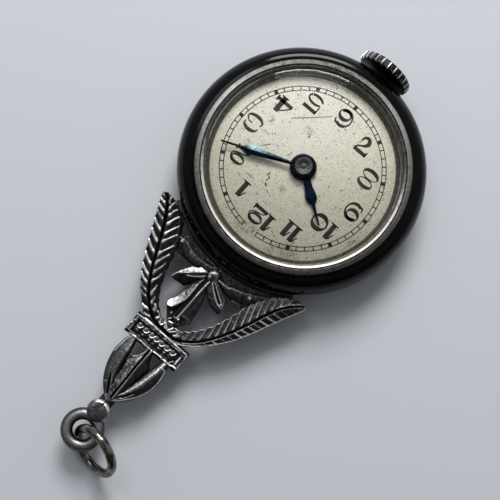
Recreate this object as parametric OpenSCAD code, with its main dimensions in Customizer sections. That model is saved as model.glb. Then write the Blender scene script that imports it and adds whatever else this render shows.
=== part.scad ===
// Pendant watch with an enamelled case and a cast silver ornament.
// It lies on its back: +Z points up out of the dial, +Y runs from 6 o'clock past 12 to the jump ring.
// The origin is the centre of the flat rest face in the middle of the case back.

/* [Case] */
// Widest diameter of the enamelled case
case_d = 27; // [26.6:0.1:27.6]
// Diameter of the flat in the middle of the back, on which the watch lies
back_flat_d = 16.8; // [14:0.2:19]
// Height of the seam between the back shell and the silver ring
seam_z = 2.5; // [2.4:0.05:2.55]
// Height of the silver ring that shows between the two shells
ring_show = 0.55; // [0.5:0.05:0.6]
// Height at which the enamelled front shell ends under the bezel
front_top_z = 5.78; // [5.7:0.02:5.82]
// Wall of the back shell
shell_wall = 0.6; // [0.5:0.05:0.7]

/* [Bezel and crystal] */
// Outer diameter of the silver bezel
bezel_d = 23.2; // [23.1:0.05:23.25]
// Diameter of the bezel's opening
bezel_open_d = 21.1; // [21:0.05:21.2]
// Height of the bezel's crest
bezel_top_z = 6.02; // [5.95:0.01:6.1]
// Height of the crystal's dome at the middle
crystal_top_z = 6.95; // [6.8:0.05:7.1]
// Thickness of the crystal
crystal_t = 0.4; // [0.35:0.05:0.45]

/* [Dial and hands] */
// Height of the dial's face
dial_z = 4.69; // [4.66:0.01:4.72]
// Diameter of the dial where it shows
dial_show_d = 20.1; // [20:0.05:20.2]
// Time shown: minutes past the hour, read off the minute hand
minute_now = 11.27; // [0:0.01:59.99]
// Time shown: hours on the dial, read off the hour hand
hour_now = 10.17; // [0:0.01:11.99]
// Reach of the minute hand from the centre
minute_reach = 9.2; // [8.4:0.1:9.2]
// Reach of the hour hand from the centre
hour_reach = 6.5; // [6:0.05:6.8]
// Thickness of a hand
hand_t = 0.12; // [0.1:0.01:0.15]
// Diameter of the minute hand's boss
boss_d = 2.6; // [2.4:0.1:2.8]
// Diameter of the grey cap in the middle of the boss
cap_d = 1.9; // [1.5:0.1:1.9]
// Diameter of the hour hand's hub under the boss
hub_d = 2.9; // [2.6:0.1:3]

/* [Crown] */
// Outer diameter of the crown
crown_d = 6.3; // [5.8:0.1:6.3]
// Length of the crown along its stem
crown_len = 1.2; // [1.1:0.05:1.6]
// Height of the stem's axis
crown_z = 3.25; // [3.2:0.05:3.3]
// Number of ribs round the crown
crown_flutes = 24; // [20:1:32]
// Turn of the first rib from the +X side
rib_turn = 11.5; // [0:0.5:15]
// Depth of a flute
flute_depth = 0.22; // [0.15:0.01:0.3]
// Diameter of the stem
stem_d = 0.9; // [0.8:0.05:0.95]
// How far the crown pulls out to set the hands
crown_pull = 0.8; // [0.6:0.05:0.9]

/* [Ornament] */
// Sideways offset of the ornament's middle line from the case's
ornament_x = -0.12; // [-0.2:0.01:0]
// Height of the ornament's underside
plate_z = 1.9; // [1.8:0.05:2.1]
// Height of the flat ground that the relief stands on
ground_z = 3.0; // [2.95:0.01:3.05]
// Height of the highest relief on the leafy branches
relief_z = 3.75; // [3.6:0.05:3.9]
// Number of leaflets along each side of a branch
leaflets = 13; // [11:1:15]
// Width of the rope-twist band
band_w = 6.9; // [6.7:0.1:7.1]
// Length of the band along the ornament
band_l = 2.15; // [2:0.05:2.3]
// Where the band starts, from the centre of the case
band_y = 23.0; // [22.9:0.05:23.1]
// Number of turns of the rope twist
twist_turns = 8; // [7:1:9]
// Where the three petals meet in a point
calyx_tip_y = 31.9; // [31.7:0.1:32.1]

/* [Loop and jump ring] */
// Diameter of the flattened ball below the fixed loop
ball_d = 2.4; // [2.2:0.1:2.6]
// Distance of the ball's middle from the centre of the case
ball_y = 33.4; // [33.3:0.1:33.5]
// Distance of the fixed loop's middle from the centre of the case
loop_y = 36.05; // [36:0.05:36.15]
// Diameter of the fixed loop at the middle of its wire
loop_d = 3.35; // [3.3:0.05:3.45]
// Diameter of the fixed loop's wire
loop_wire = 1.3; // [1.2:0.05:1.35]
// Height of the fixed loop's middle
loop_z = 2.7; // [2.6:0.05:2.8]
// Diameter of the jump ring at the middle of its wire
jump_d = 5.4; // [5.35:0.05:5.5]
// Diameter of the jump ring's wire
jump_wire = 0.98; // [0.9:0.02:1]
// Lean of the jump ring from lying flat, in degrees
jump_lean = 56.8; // [56:0.1:58]
// Direction of the jump ring's level diameter, in degrees from +X
jump_turn = 164.3; // [164:0.1:165]

/* [Hidden] */
// Side counts: exact rounds, the meshed case ring, meshed beads and a meshed wire
round_fn = 96;
ring_fn = 96;
bead_fn = 16;
wire_fn = 6;
// Clearance between neighbouring pieces that do not move
gap = 0.05;
// Running clearance round the stem and the hands' arbor
run = 0.1;
// Overlap that joins the solids of one cast piece
weld = 0.2;

case_r = case_d / 2;
ring_top_z = seam_z + ring_show;
// Height of the case's widest circle
waist_z = ring_top_z + 0.25;
ring_r = case_r - 0.2;
// The silver ring's inner wall, over which both shells fit
wall_out_r = 12.4;
wall_in_r = 11.85;
wall_low_z = 1.9;
wall_high_z = 4.25;
// Inner radius at which both shells stand off the ring's wall
skirt_r = wall_out_r + gap;
bezel_r = bezel_d / 2;
bezel_open_r = bezel_open_d / 2;
// Ledge of the front shell that carries the bezel
ledge_z = 5.05;
ledge_r = 10.95;
bezel_in_r = 11.02;
crystal_rim_r = bezel_in_r - gap;
crystal_seat_z = 5.36;
crystal_neck_z = 5.62;
movement_r = wall_in_r - 0.25;
movement_low_z = 0.9;
movement_high_z = 4.36;
dial_t = dial_z - movement_high_z - gap;
dial_r = 10.85;
arbor_d = 0.8;
// Heights of the hour hand and the minute hand
hour_z = 5.0;
minute_z = 5.36;
cap_z = 5.9;
pipe_d = 1.7;
// Thickness of the minute hand's boss, and the lower ends of the arbor and of the hour hand's pipe
boss_t = 0.24;
arbor_low_z = 1.7;
pipe_low_z = 3;
crown_in_y = case_r + 0.14;
crown_end_y = crown_in_y + crown_len;
bore_d = stem_d + 2 * run;
// Groove of the stem that the setting lever grips
groove_y = 10.4;
groove_w = 0.6;
groove_d = 0.45;
stem_in_y = 8.9;
lever_t = 0.4;
lever_w = 1.9;
lever_low_z = 2.2;
lever_high_z = 4.1;
// The ornament stops short of the shells, and only the silver ring joins it
clear_r = case_r + 0.08;
// Half of the turn round the case along which they are soldered
solder_turn = 36;

// Middle line of a branch, from the band to the tip beside the case: start, two handles and end
branch_line = [[1.7, 22.6], [5.3, 20.5], [6.25, 15.5], [9.45, 11.35]];
// Half widths of a branch along its middle line
// columns: share of the length, outer side, inner side
branch_width = [
    [0.00, 0.80, 0.80],
    [0.15, 0.92, 1.00],
    [0.30, 0.98, 1.20],
    [0.50, 1.12, 1.50],
    [0.70, 1.18, 1.85],
    [0.85, 1.08, 1.85],
    [0.94, 0.85, 1.35],
    [1.00, 0.42, 0.50]
];
// Half outline of a bow loop: distance from the knot, half width
bow_loop = [[0.40, 0.28], [1.50, 0.65], [2.60, 1.00], [3.30, 0.78], [4.15, 0.05]];
// Outline of one bow tail, which widens towards the band
bow_tail = [[-0.02, 15.30], [0.50, 15.60], [1.15, 17.00], [1.58, 18.40], [1.74, 19.90],
            [1.30, 20.40], [0.75, 20.75], [-0.02, 20.55]];
// Lower edge of the ribbon beside the case, from the knot to the branch
ribbon_edge = [[0.00, 15.40], [1.40, 15.25], [2.80, 15.50], [3.70, 15.50], [4.70, 15.45],
               [5.80, 14.60], [6.60, 13.20]];
// Upper edge of the ribbon, and the gap between its end and the case
ribbon_rim = [[1.00, 14.15], [2.60, 14.00], [4.30, 13.75], [5.40, 14.00]];
ribbon_gap = [[6.25, 12.35], [5.40, 13.95], [4.65, 13.10]];
// Corner of the plate that closes the place of that gap on the other side
plate_corner = [7.90, 11.60];
// Outline of the side petal and the middle petal of the calyx
side_petal = [[2.20, 25.00], [2.75, 25.60], [2.95, 27.00], [2.85, 28.30], [2.35, 29.70], [1.55, 30.90],
              [0.70, 31.75], [0.05, 32.10], [0.15, 30.50], [1.35, 26.85], [1.75, 25.00]];
middle_petal = [[-0.32, 25.00], [0.32, 25.00], [1.35, 26.85], [0.25, 31.90], [-0.25, 31.90], [-1.35, 26.85]];
knot_y = 15.0;
knot_r = 0.62;
bow_turn = 50;
calyx_z = 4.05;

function lerp(a, b, t) = a + (b - a) * t;
function bezier(p, t) =
    pow(1 - t, 3) * p[0] + 3 * t * pow(1 - t, 2) * p[1] + 3 * t * t * (1 - t) * p[2] + pow(t, 3) * p[3];
function bezier_way(p, t) =
    3 * pow(1 - t, 2) * (p[1] - p[0]) + 6 * t * (1 - t) * (p[2] - p[1]) + 3 * t * t * (p[3] - p[2]);
// Unit vector to the outer side of the branch
function branch_side(t) = let (w = bezier_way(branch_line, t)) [-w[1], w[0]] / norm(w);
// Table lookup between rows: side 1 is outer, side 2 is inner
function branch_half(t, side) = lookup(t, [for (row = branch_width) [row[0], row[side]]]);
function branch_edge(t, side) =
    bezier(branch_line, t) + (side == 1 ? 1 : -1) * branch_half(t, side) * branch_side(t);
function arc(cx, cy, rx, ry, a0, a1, n) =
    [for (i = [0:n]) let (a = lerp(a0, a1, i / n)) [cx + rx * cos(a), cy + ry * sin(a)]];
// Outline point of a dome of this radius and rise, at a distance from the middle
function dome(r, rise, x) =
    let (ball = (r * r + rise * rise) / (2 * rise)) sqrt(ball * ball - x * x) - ball + rise;

// Bore along the stem, through ring, shells and movement
module stem_bore(d, from_y, to_y) {
    translate([0, -from_y, crown_z])
        rotate([90, 0, 0])
            cylinder(d = d, h = to_y - from_y, $fn = 32);
}

// Dished back shell in black enamel, flat in the middle
module case_back() {
    dish_r = back_flat_d / 2;
    dish = arc(dish_r, seam_z, ring_r - 0.1 - dish_r, seam_z, -90, 0, 8);
    inside = arc(dish_r, seam_z, wall_in_r - 0.45 - dish_r, seam_z - shell_wall - gap, -90, -18, 6);
    color("#0c0c0e")
        difference() {
            rotate_extrude($fn = round_fn)
                polygon(concat([[0, 0]], dish, [[skirt_r, seam_z], [skirt_r, wall_low_z - gap]],
                    [for (i = [len(inside) - 1:-1:0]) inside[i]], [[0, shell_wall + gap]]));
            stem_bore(bore_d, 8, 14);
        }
}

// Silver ring of the case: a wall inside the shells and a narrow band that shows
module case_ring() {
    difference() {
        rotate_extrude($fn = ring_fn)
            polygon([[wall_in_r, wall_low_z], [wall_out_r, wall_low_z], [wall_out_r, seam_z + gap],
                [ring_r, seam_z + gap], [ring_r, ring_top_z - gap], [wall_out_r, ring_top_z - gap],
                [wall_out_r, wall_high_z], [wall_in_r, wall_high_z]]);
        stem_bore(bore_d, 8, 14);
    }
}

// Small marks that a hull stretches up to, so that a relief gets its crest
module crest(points) {
    for (p = points)
        translate(p)
            cube(0.05, center = true);
}

// A raised ridge with a roof section, from one point of the plan to another
module ridge(a, b, wide_a, wide_b, top_a, top_b) {
    way = (b - a) / norm(b - a);
    side = [-way[1], way[0]];
    hull() {
        translate([0, 0, ground_z - weld])
            linear_extrude(weld)
                polygon([a - side * wide_a, b - side * wide_b, b + side * wide_b, a + side * wide_a]);
        crest([concat(a, top_a), concat(b, top_b)]);
    }
}

// One leafy branch: a flat ground, a midrib and slanting leaflets on both sides
module branch() {
    steps = 24;
    outline = concat([for (i = [0:steps]) branch_edge(i / steps, 1)],
        [for (i = [steps:-1:0]) branch_edge(i / steps, 2)]);
    translate([0, 0, plate_z])
        linear_extrude(ground_z - plate_z)
            polygon(outline);
    for (i = [1:leaflets], side = [1, 2]) {
        root = i / (leaflets + 1.6);
        ridge(bezier(branch_line, root - 0.01), branch_edge(min(root + 0.075, 1), side) * 0.9
            + bezier(branch_line, root + 0.05) * 0.1, 0.34, 0.22, relief_z, relief_z - 0.2);
    }
    ribs = 6;
    for (i = [0:ribs - 1])
        ridge(bezier(branch_line, i / ribs), bezier(branch_line, (i + 1) / ribs), 0.16, 0.16,
            relief_z + 0.05, relief_z + 0.05);
}

// Bow with a round knot, two pointed loops and two widening tails
module bow_half() {
    loop_way = [sin(bow_turn), cos(bow_turn)];
    loop_side = [loop_way[1], -loop_way[0]];
    knot = [0, knot_y];
    rim = concat([for (row = bow_loop) knot + row[0] * loop_way + row[1] * loop_side],
        [for (i = [len(bow_loop) - 1:-1:0]) knot + bow_loop[i][0] * loop_way - bow_loop[i][1] * loop_side]);
    tip = knot + 4.15 * loop_way;
    translate([0, 0, plate_z + 0.2])
        linear_extrude(ground_z + 0.1 - plate_z - 0.2)
            polygon(rim);
    hull() {
        translate([0, 0, ground_z])
            linear_extrude(0.1 + weld / 2)
                polygon(rim);
        crest([concat(tip, ground_z + 0.3), concat(knot + 2.4 * loop_way, relief_z + 0.1),
            concat(knot, relief_z)]);
    }
    translate([0, 0, plate_z])
        linear_extrude(ground_z - plate_z)
            polygon(bow_tail);
    hull() {
        translate([0, 0, ground_z - weld])
            linear_extrude(weld + 0.05)
                polygon(bow_tail);
        translate([-0.02, 15.4, ground_z])
            cube([0.2, 4.9, relief_z - 0.1 - ground_z]);
    }
}

// Ribbon that runs from the knot along the case to the branch, pierced at its end on one side only
module ribbon(pierced) {
    near = [for (i = [0:8]) let (a = lerp(90, pierced ? 58 : 55, i / 8)) (clear_r - 0.1) * [cos(a), sin(a)]];
    far = [for (i = [len(ribbon_edge) - 1:-1:0]) ribbon_edge[i]];
    translate([0, 0, plate_z])
        linear_extrude(ground_z + 0.15 - plate_z)
            difference() {
                polygon(concat(near, pierced ? [] : [plate_corner], far));
                if (pierced)
                    polygon(ribbon_gap);
            }
    for (i = [0:len(ribbon_rim) - 2])
        ridge(ribbon_rim[i], ribbon_rim[i + 1], 0.15, 0.15, relief_z - 0.2, relief_z - 0.2);
}

// Rectangular band with a double border and a rope twist in a sunk field
module band() {
    border = 0.28;
    field_w = band_w - 4 * border;
    field_l = band_l - 4 * border;
    translate([-band_w / 2, band_y, plate_z - 0.1])
        difference() {
            cube([band_w, band_l, relief_z + 0.2 - plate_z]);
            translate([border, border, relief_z - 0.05 - plate_z])
                cube([band_w - 2 * border, band_l - 2 * border, 1]);
        }
    translate([-band_w / 2 + 1.4 * border, band_y + 1.4 * border, ground_z])
        difference() {
            cube([band_w - 2.8 * border, band_l - 2.8 * border, relief_z + 0.08 - ground_z]);
            translate([border * 0.6, border * 0.6, 0.4])
                cube([field_w, field_l, 1]);
        }
    for (i = [0:twist_turns - 1])
        translate([(i + 0.5 - twist_turns / 2) * field_w / twist_turns, band_y + band_l / 2, relief_z - 0.25])
            rotate(35)
                scale([0.3, 0.62, 0.42])
                    sphere(1, $fn = 10);
}

// Calyx of three ridged petals that meet in a point
module calyx() {
    petal_base = plate_z - 0.1;
    for (m = [0, 1])
        mirror([m, 0, 0])
            hull() {
                translate([0, 0, petal_base])
                    linear_extrude(ground_z - 0.1 - petal_base)
                        polygon(side_petal);
                crest([[2.25, 25.25, calyx_z - 0.3], [2.05, 27.6, calyx_z - 0.1],
                    [0.75, 31.2, calyx_z - 0.6]]);
            }
    hull() {
        translate([0, 0, petal_base])
            linear_extrude(ground_z - petal_base)
                polygon(middle_petal);
        crest([[0, 25.25, calyx_z - 0.1], [0, 29.4, calyx_z], [0, 31.5, calyx_z - 0.4]]);
    }
}

// Flattened ball, and the fixed loop cast on its far side
module ball_and_loop() {
    ball_r = ball_d / 2;
    translate([0, ball_y, 0])
        rotate_extrude($fn = bead_fn)
            polygon([[0, 1.6], [0.9, 1.6], [ball_r, 2.1], [ball_r, 3.3], [0.92, 3.75], [0, 3.8]]);
    translate([0, calyx_tip_y - 0.6, 2.75])
        rotate([-90, 0, 0])
            cylinder(r1 = 0.75, r2 = 0.85, h = 1.2, $fn = bead_fn);
    translate([0, loop_y, loop_z])
        rotate_extrude($fn = bead_fn)
            translate([loop_d / 2, 0])
                circle(d = loop_wire, $fn = wire_fn);
}

// Seam of solder between the silver ring and the ornament
module solder() {
    low_z = seam_z + 2 * gap;
    high_z = ring_top_z - 2 * gap;
    in_r = ring_r - 0.5;
    out_r = clear_r + 0.3;
    rotate([0, 0, 90 - solder_turn])
        rotate_extrude(angle = 2 * solder_turn, $fn = ring_fn)
            polygon([[in_r, low_z], [out_r, low_z], [out_r, high_z], [in_r, high_z]]);
}

// Silver ring of the case with the cast ornament soldered to it
module ornament() {
    color("#8d8d8a") {
        case_ring();
        translate([ornament_x, 0, 0])
            ball_and_loop();
        difference() {
            translate([ornament_x, 0, 0]) {
                for (m = [0, 1])
                    mirror([m, 0, 0]) {
                        branch();
                        bow_half();
                        ribbon(m == 0);
                    }
                translate([0, knot_y, ground_z + 0.2])
                    sphere(knot_r, $fn = bead_fn);
                band();
                calyx();
                translate([-2.4, 21.7, plate_z])
                    cube([4.8, 1.5, ground_z - 0.2 - plate_z]);
                for (i = [-2:2])
                    translate([i * 0.62, 21.65 + 0.12 * abs(i), ground_z])
                        sphere(0.36, $fn = 10);
            }
            translate([0, 0, -1])
                cylinder(r = clear_r, h = 9, $fn = ring_fn);
        }
        solder();
    }
}

// Enamelled front shell: the black domed shoulder round the bezel
module case_front() {
    shoulder = arc(bezel_r + gap, waist_z, case_r - bezel_r - gap, front_top_z - waist_z, 0, 90, 10);
    color("#0c0c0e")
        difference() {
            rotate_extrude($fn = round_fn)
                polygon(concat([[skirt_r, ring_top_z], [case_r - 0.04, ring_top_z]], shoulder,
                    [[bezel_r + gap, ledge_z], [ledge_r, ledge_z], [ledge_r, movement_high_z + 0.1],
                    [wall_in_r - 0.3, movement_high_z + 0.1], [skirt_r, movement_high_z + 0.1]]));
            stem_bore(bore_d, 8, 14);
        }
}

// Silver bezel with a stepped crest, which holds the crystal down
module bezel() {
    // Height of the fine groove beside the crest
    groove_top_z = bezel_top_z - 0.08;
    color("#a9a89f")
        rotate_extrude($fn = round_fn)
            polygon([[bezel_in_r, ledge_z + gap], [bezel_r, ledge_z + gap], [bezel_r, bezel_top_z - 0.2],
                [bezel_r - 0.12, groove_top_z - 0.01], [bezel_r - 0.38, bezel_top_z - 0.04],
                [bezel_r - 0.42, groove_top_z], [bezel_r - 0.5, groove_top_z], [bezel_r - 0.55, bezel_top_z],
                [bezel_r - 0.8, bezel_top_z - 0.02], [bezel_open_r + 0.06, bezel_top_z - 0.14],
                [bezel_open_r, bezel_top_z - 0.22], [bezel_open_r, crystal_neck_z + gap],
                [bezel_in_r, crystal_neck_z + gap]]);
}

// Domed crystal with a rim that sits under the bezel
module crystal() {
    neck_r = bezel_open_r - gap;
    edge_z = 5.76;
    rise = crystal_top_z - edge_z;
    inner_r = neck_r - 0.25;
    upper = [for (i = [0:8]) let (x = neck_r * (1 - i / 8)) [x, edge_z + dome(neck_r, rise, x)]];
    lower = [for (i = [0:8]) let (x = inner_r * i / 8)
        [x, crystal_seat_z + dome(inner_r, crystal_top_z - crystal_t - crystal_seat_z, x)]];
    color("#dfe6ea", 0.3)
        rotate_extrude($fn = round_fn)
            polygon(concat([[crystal_rim_r, crystal_seat_z], [crystal_rim_r, crystal_neck_z],
                [neck_r, crystal_neck_z]], upper, lower));
}

// Sloping silvered ring between the dial and the crystal
module dial_ring() {
    color("#b9b6a8")
        rotate_extrude($fn = round_fn)
            polygon([[dial_show_d / 2, dial_z + gap], [dial_r, dial_z + gap], [dial_r, crystal_seat_z - gap],
                [dial_show_d / 2 + 0.36, crystal_seat_z - gap]]);
}

// Dial plate with a hole for the hands' pipe
module dial() {
    color("#cfc9b4")
        translate([0, 0, dial_z - dial_t])
            difference() {
                cylinder(r = dial_r, h = dial_t, $fn = round_fn);
                translate([0, 0, -1])
                    cylinder(d = pipe_d + 2 * run, h = 3, $fn = 48);
            }
}

// Plain block for the hidden movement, with bores for arbor and stem and a slot for the lever
module movement() {
    low_r = 9.6;
    // Height at which the block widens under the ring's wall
    step_z = 1.95;
    slot_w = lever_w + 2 * run;
    color("#b08d4a")
        difference() {
            union() {
                translate([0, 0, movement_low_z])
                    cylinder(r = low_r, h = step_z + gap - movement_low_z, $fn = round_fn);
                translate([0, 0, step_z])
                    cylinder(r = movement_r, h = movement_high_z - step_z, $fn = round_fn);
            }
            translate([0, 0, pipe_low_z - 2 * run])
                cylinder(d = pipe_d + 2 * run, h = 3, $fn = 48);
            translate([0, 0, arbor_low_z - run])
                cylinder(d = arbor_d + 2 * run, h = 3, $fn = 48);
            stem_bore(bore_d, stem_in_y - 0.3, 14);
            translate([-slot_w / 2, -groove_y - lever_t / 2 - crown_pull - run, lever_low_z - run])
                cube([slot_w, lever_t + crown_pull + 2 * run, lever_high_z - lever_low_z + 2 * run]);
        }
}

// Arbor of the minute hand with the grey cap on top
module centre_arbor() {
    cap_low_z = minute_z + boss_t + gap;
    cap_r = cap_d / 2;
    color("#6d6f72") {
        translate([0, 0, arbor_low_z])
            cylinder(d = arbor_d, h = cap_low_z + gap - arbor_low_z, $fn = 48);
        translate([0, 0, cap_low_z])
            rotate_extrude($fn = 48)
                polygon([[0, 0], [cap_r, 0], [cap_r, 0.1], [cap_r - 0.2, cap_z - cap_low_z - 0.01],
                    [0, cap_z - cap_low_z]]);
    }
}

// Blued minute hand: it widens outwards to a shoulder and ends in a needle
module minute_hand() {
    shoulder = minute_reach * 0.75;
    side = [[0.8, 0.19], [1.6, 0.2], [minute_reach * 0.62, 0.48], [minute_reach * 0.68, 0.38],
        [shoulder, 0.13], [minute_reach, 0.09]];
    color("#1f3550")
        rotate(-6 * minute_now)
            translate([0, 0, minute_z])
                difference() {
                    union() {
                        linear_extrude(hand_t)
                            polygon(concat([for (p = side) [p[1], p[0]]],
                                [for (i = [len(side) - 1:-1:0]) [-side[i][1], side[i][0]]]));
                        cylinder(d = boss_d, h = boss_t, $fn = 48);
                    }
                    translate([0, 0, -1])
                        cylinder(d = arbor_d + 2 * gap, h = 3, $fn = 48);
                }
}

// Blued hour hand with its pipe, which turns round the arbor
module hour_hand() {
    side = [[0.7, 0.4], [hour_reach * 0.36, 0.44], [hour_reach * 0.5, 0.6], [hour_reach * 0.55, 0.57],
        [hour_reach * 0.64, 0.19], [hour_reach, 0.09]];
    color("#1f3550")
        rotate(-30 * hour_now)
            difference() {
                union() {
                    translate([0, 0, hour_z])
                        linear_extrude(hand_t)
                            polygon(concat([for (p = side) [p[1], p[0]]],
                                [for (i = [len(side) - 1:-1:0]) [-side[i][1], side[i][0]]]));
                    translate([0, 0, hour_z])
                        cylinder(d = hub_d, h = 0.2, $fn = 48);
                    translate([0, 0, pipe_low_z])
                        cylinder(d = pipe_d, h = hour_z + 0.1 - pipe_low_z, $fn = 48);
                }
                translate([0, 0, 2])
                    cylinder(d = arbor_d + 2 * run, h = 4, $fn = 48);
            }
}

// Fork of the movement that grips the stem's groove and slides out with the crown
module setting_lever() {
    slot_d = groove_d + 2 * run;
    color("#9a9a96")
        difference() {
            translate([-lever_w / 2, -groove_y - lever_t / 2, lever_low_z])
                cube([lever_w, lever_t, lever_high_z - lever_low_z]);
            stem_bore(slot_d, groove_y - 1, groove_y + 1);
        }
}

// Fluted crown with a rounded end, and its stem
module crown() {
    crown_r = crown_d / 2;
    flute_w = 180 / crown_flutes;
    teeth = [for (i = [0:crown_flutes - 1], s = [[-0.8, 0], [-0.55, 1], [0.55, 1], [0.8, 0]])
        let (a = rib_turn + (2 * i + s[0]) * flute_w, r = crown_r - flute_depth * (1 - s[1])) r * [cos(a), sin(a)]];
    round_in = 0.55;
    color("#77777a")
        translate([0, 0, crown_z])
            rotate([90, 0, 0]) {
                intersection() {
                    translate([0, 0, crown_in_y])
                        linear_extrude(crown_len)
                            polygon(teeth);
                    rotate_extrude($fn = round_fn)
                        polygon(concat([[0, crown_in_y], [crown_r - 0.3, crown_in_y],
                                [crown_r, crown_in_y + 0.25]],
                            arc(crown_r - round_in, crown_end_y - round_in, round_in, round_in, 0, 65, 4),
                            [[crown_r - 1.1, crown_end_y], [0, crown_end_y]]));
                }
                translate([0, 0, groove_y + groove_w / 2])
                    cylinder(d = stem_d, h = crown_in_y + 0.1 - groove_y - groove_w / 2, $fn = 48);
                translate([0, 0, groove_y - groove_w])
                    cylinder(d = groove_d, h = 2 * groove_w, $fn = 48);
                translate([0, 0, stem_in_y])
                    cylinder(d = stem_d, h = groove_y - groove_w / 2 - stem_in_y, $fn = 48);
            }
}

// Open round link that passes through the fixed loop and rests on its lower edge
module jump_ring() {
    jump_r = jump_d / 2;
    // Where the ring crosses the fixed loop's opening
    cross = [ornament_x + 0.12, loop_y + 0.12];
    level = [cos(jump_turn), sin(jump_turn)];
    color("#6f6a5e")
        translate(concat(cross + jump_r * level * 0.985, jump_r * sin(jump_lean) + jump_wire / 2))
            rotate([0, 0, jump_turn])
                rotate([jump_lean, 0, 0])
                    rotate_extrude($fn = round_fn)
                        translate([jump_r, 0])
                            circle(d = jump_wire, $fn = 32);
}

case_back();
ornament();
case_front();
bezel();
crystal();
dial_ring();
dial();
movement();
centre_arbor();
minute_hand();
hour_hand();
setting_lever();
crown();
jump_ring();
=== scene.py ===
"""Looks of the pendant watch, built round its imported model.

Lengths are in millimetres, in the frame of the CAD model, and become metres only in the meshes.
"""

import math

import bmesh
import bpy
import numpy as np
from mathutils import Matrix, Vector


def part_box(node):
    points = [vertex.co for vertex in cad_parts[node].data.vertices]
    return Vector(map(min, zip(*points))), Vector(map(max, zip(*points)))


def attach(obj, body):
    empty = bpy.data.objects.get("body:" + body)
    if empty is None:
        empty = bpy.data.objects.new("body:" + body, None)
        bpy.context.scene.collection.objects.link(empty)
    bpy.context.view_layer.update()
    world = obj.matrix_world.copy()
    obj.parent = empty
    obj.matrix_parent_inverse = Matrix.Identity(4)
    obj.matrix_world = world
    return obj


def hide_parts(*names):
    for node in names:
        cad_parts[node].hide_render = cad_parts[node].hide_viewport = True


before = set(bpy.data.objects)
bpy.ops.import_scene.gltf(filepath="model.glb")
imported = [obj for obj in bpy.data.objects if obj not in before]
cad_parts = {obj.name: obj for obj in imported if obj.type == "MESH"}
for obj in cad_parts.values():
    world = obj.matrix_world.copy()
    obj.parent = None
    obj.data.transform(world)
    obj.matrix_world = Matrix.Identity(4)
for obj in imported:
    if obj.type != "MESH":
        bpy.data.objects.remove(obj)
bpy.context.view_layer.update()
MM = 0.001


def box_mm(node):
    """Lowest and highest corner of a CAD node in millimetres."""
    low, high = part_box(node)
    return np.array(low) / MM, np.array(high) / MM


# Driving sizes, read off the frame
DIAL_Z = box_mm("dial")[1][2]
DIAL_R = box_mm("dial")[1][0]
RING_TOP_Z = box_mm("dial_ring")[1][2]
BEZEL_LOW_Z = box_mm("bezel")[0][2]
BEZEL_TOP_Z = box_mm("bezel")[1][2]
BEZEL_R = box_mm("bezel")[1][0]
SEAM_LOW_Z = box_mm("case_back")[1][2]
SEAM_HIGH_Z = box_mm("case_front")[0][2]
CAP_Z = box_mm("centre_arbor")[1][2]
MINUTE_Z = box_mm("minute_hand")[0][2]
CROWN_R = box_mm("crown")[1][0]
CROWN_END_Y = -box_mm("crown")[0][1]
CROWN_Z = (box_mm("crown")[0][2] + box_mm("crown")[1][2]) / 2
JUMP_LOW, JUMP_HIGH = box_mm("jump_ring")

# Sizes that the frame doesn't give: the hour hand's underside and the crown's inner face
HOUR_Z = 5.0
CROWN_IN_Y = 13.64
# Turns of the hands and of the dial's print, in degrees clockwise from 12
MINUTE_TURN = 67.6
HOUR_TURN = 305.1
DIAL_TURN = 0.9
# The ornament's middle line, the silver ring's radius, and where the plate starts and its underside
ORNAMENT_X = -0.12
RING_R = 13.3
CLEAR_R = 13.58
PLATE_Z = 1.9
# The window's side, in degrees clockwise from 12
WINDOW_CLOCK = 150


# Meshes


def mesh_piece(name, verts, faces, material, body, slot, smooth=True, marks=None):
    """A piece of the watch from points in millimetres. marks holds named values, one for each point."""
    mesh = bpy.data.meshes.new(name)
    mesh.from_pydata([tuple(p) for p in np.asarray(verts, float) * MM], [], [tuple(f) for f in faces])
    for key, values in (marks or {}).items():
        mesh.attributes.new(key, "FLOAT", "POINT").data.foreach_set("value", np.asarray(values, np.float32))
    if smooth:
        mesh.shade_smooth()
    mesh.materials.append(material)
    piece = bpy.data.objects.new(name, mesh)
    bpy.context.scene.collection.objects.link(piece)
    clean = bmesh.new()
    clean.from_mesh(mesh)
    bmesh.ops.recalc_face_normals(clean, faces=clean.faces)
    clean.to_mesh(mesh)
    clean.free()
    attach(piece, body)
    return piece


def sharpen(piece, angle):
    """Keeps edges sharper than this crisp under smooth shading."""
    piece.data.set_sharp_from_angle(angle=math.radians(angle))


def join_parts(parts):
    """One list of points, faces and marks from several."""
    verts, faces, marks = [], [], {}
    for part in parts:
        start = len(verts)
        verts.extend(part[0])
        faces.extend(tuple(i + start for i in face) for face in part[1])
        for key, values in (part[2] if len(part) > 2 else {}).items():
            marks.setdefault(key, [0.0] * start).extend(values)
        for key in marks:
            marks[key].extend([0.0] * (len(verts) - len(marks[key])))
    return verts, faces, marks


def rounded(outline, radius, steps=4):
    """A closed outline with its corners rounded."""
    points = [np.array(p, float) for p in outline]
    made = []
    for i, p in enumerate(points):
        a, b = points[i - 1] - p, points[(i + 1) % len(points)] - p
        reach = min(radius, np.linalg.norm(a) * 0.45, np.linalg.norm(b) * 0.45)
        a, b = p + a / np.linalg.norm(a) * reach, p + b / np.linalg.norm(b) * reach
        for k in range(steps + 1):
            t = k / steps
            made.append((1 - t) ** 2 * a + 2 * t * (1 - t) * p + t * t * b)
    return made


def skin(rows, n, closed=True, wrap=True, first=0):
    """Quads between rows of n points. Rows close into a ring, and each row does, unless told otherwise."""
    faces = []
    for k in range(rows if closed else rows - 1):
        m = (k + 1) % rows
        for i in range(n if wrap else n - 1):
            j = (i + 1) % n
            faces.append(tuple(first + place for place in (k * n + i, m * n + i, m * n + j, k * n + j)))
    return faces


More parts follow.
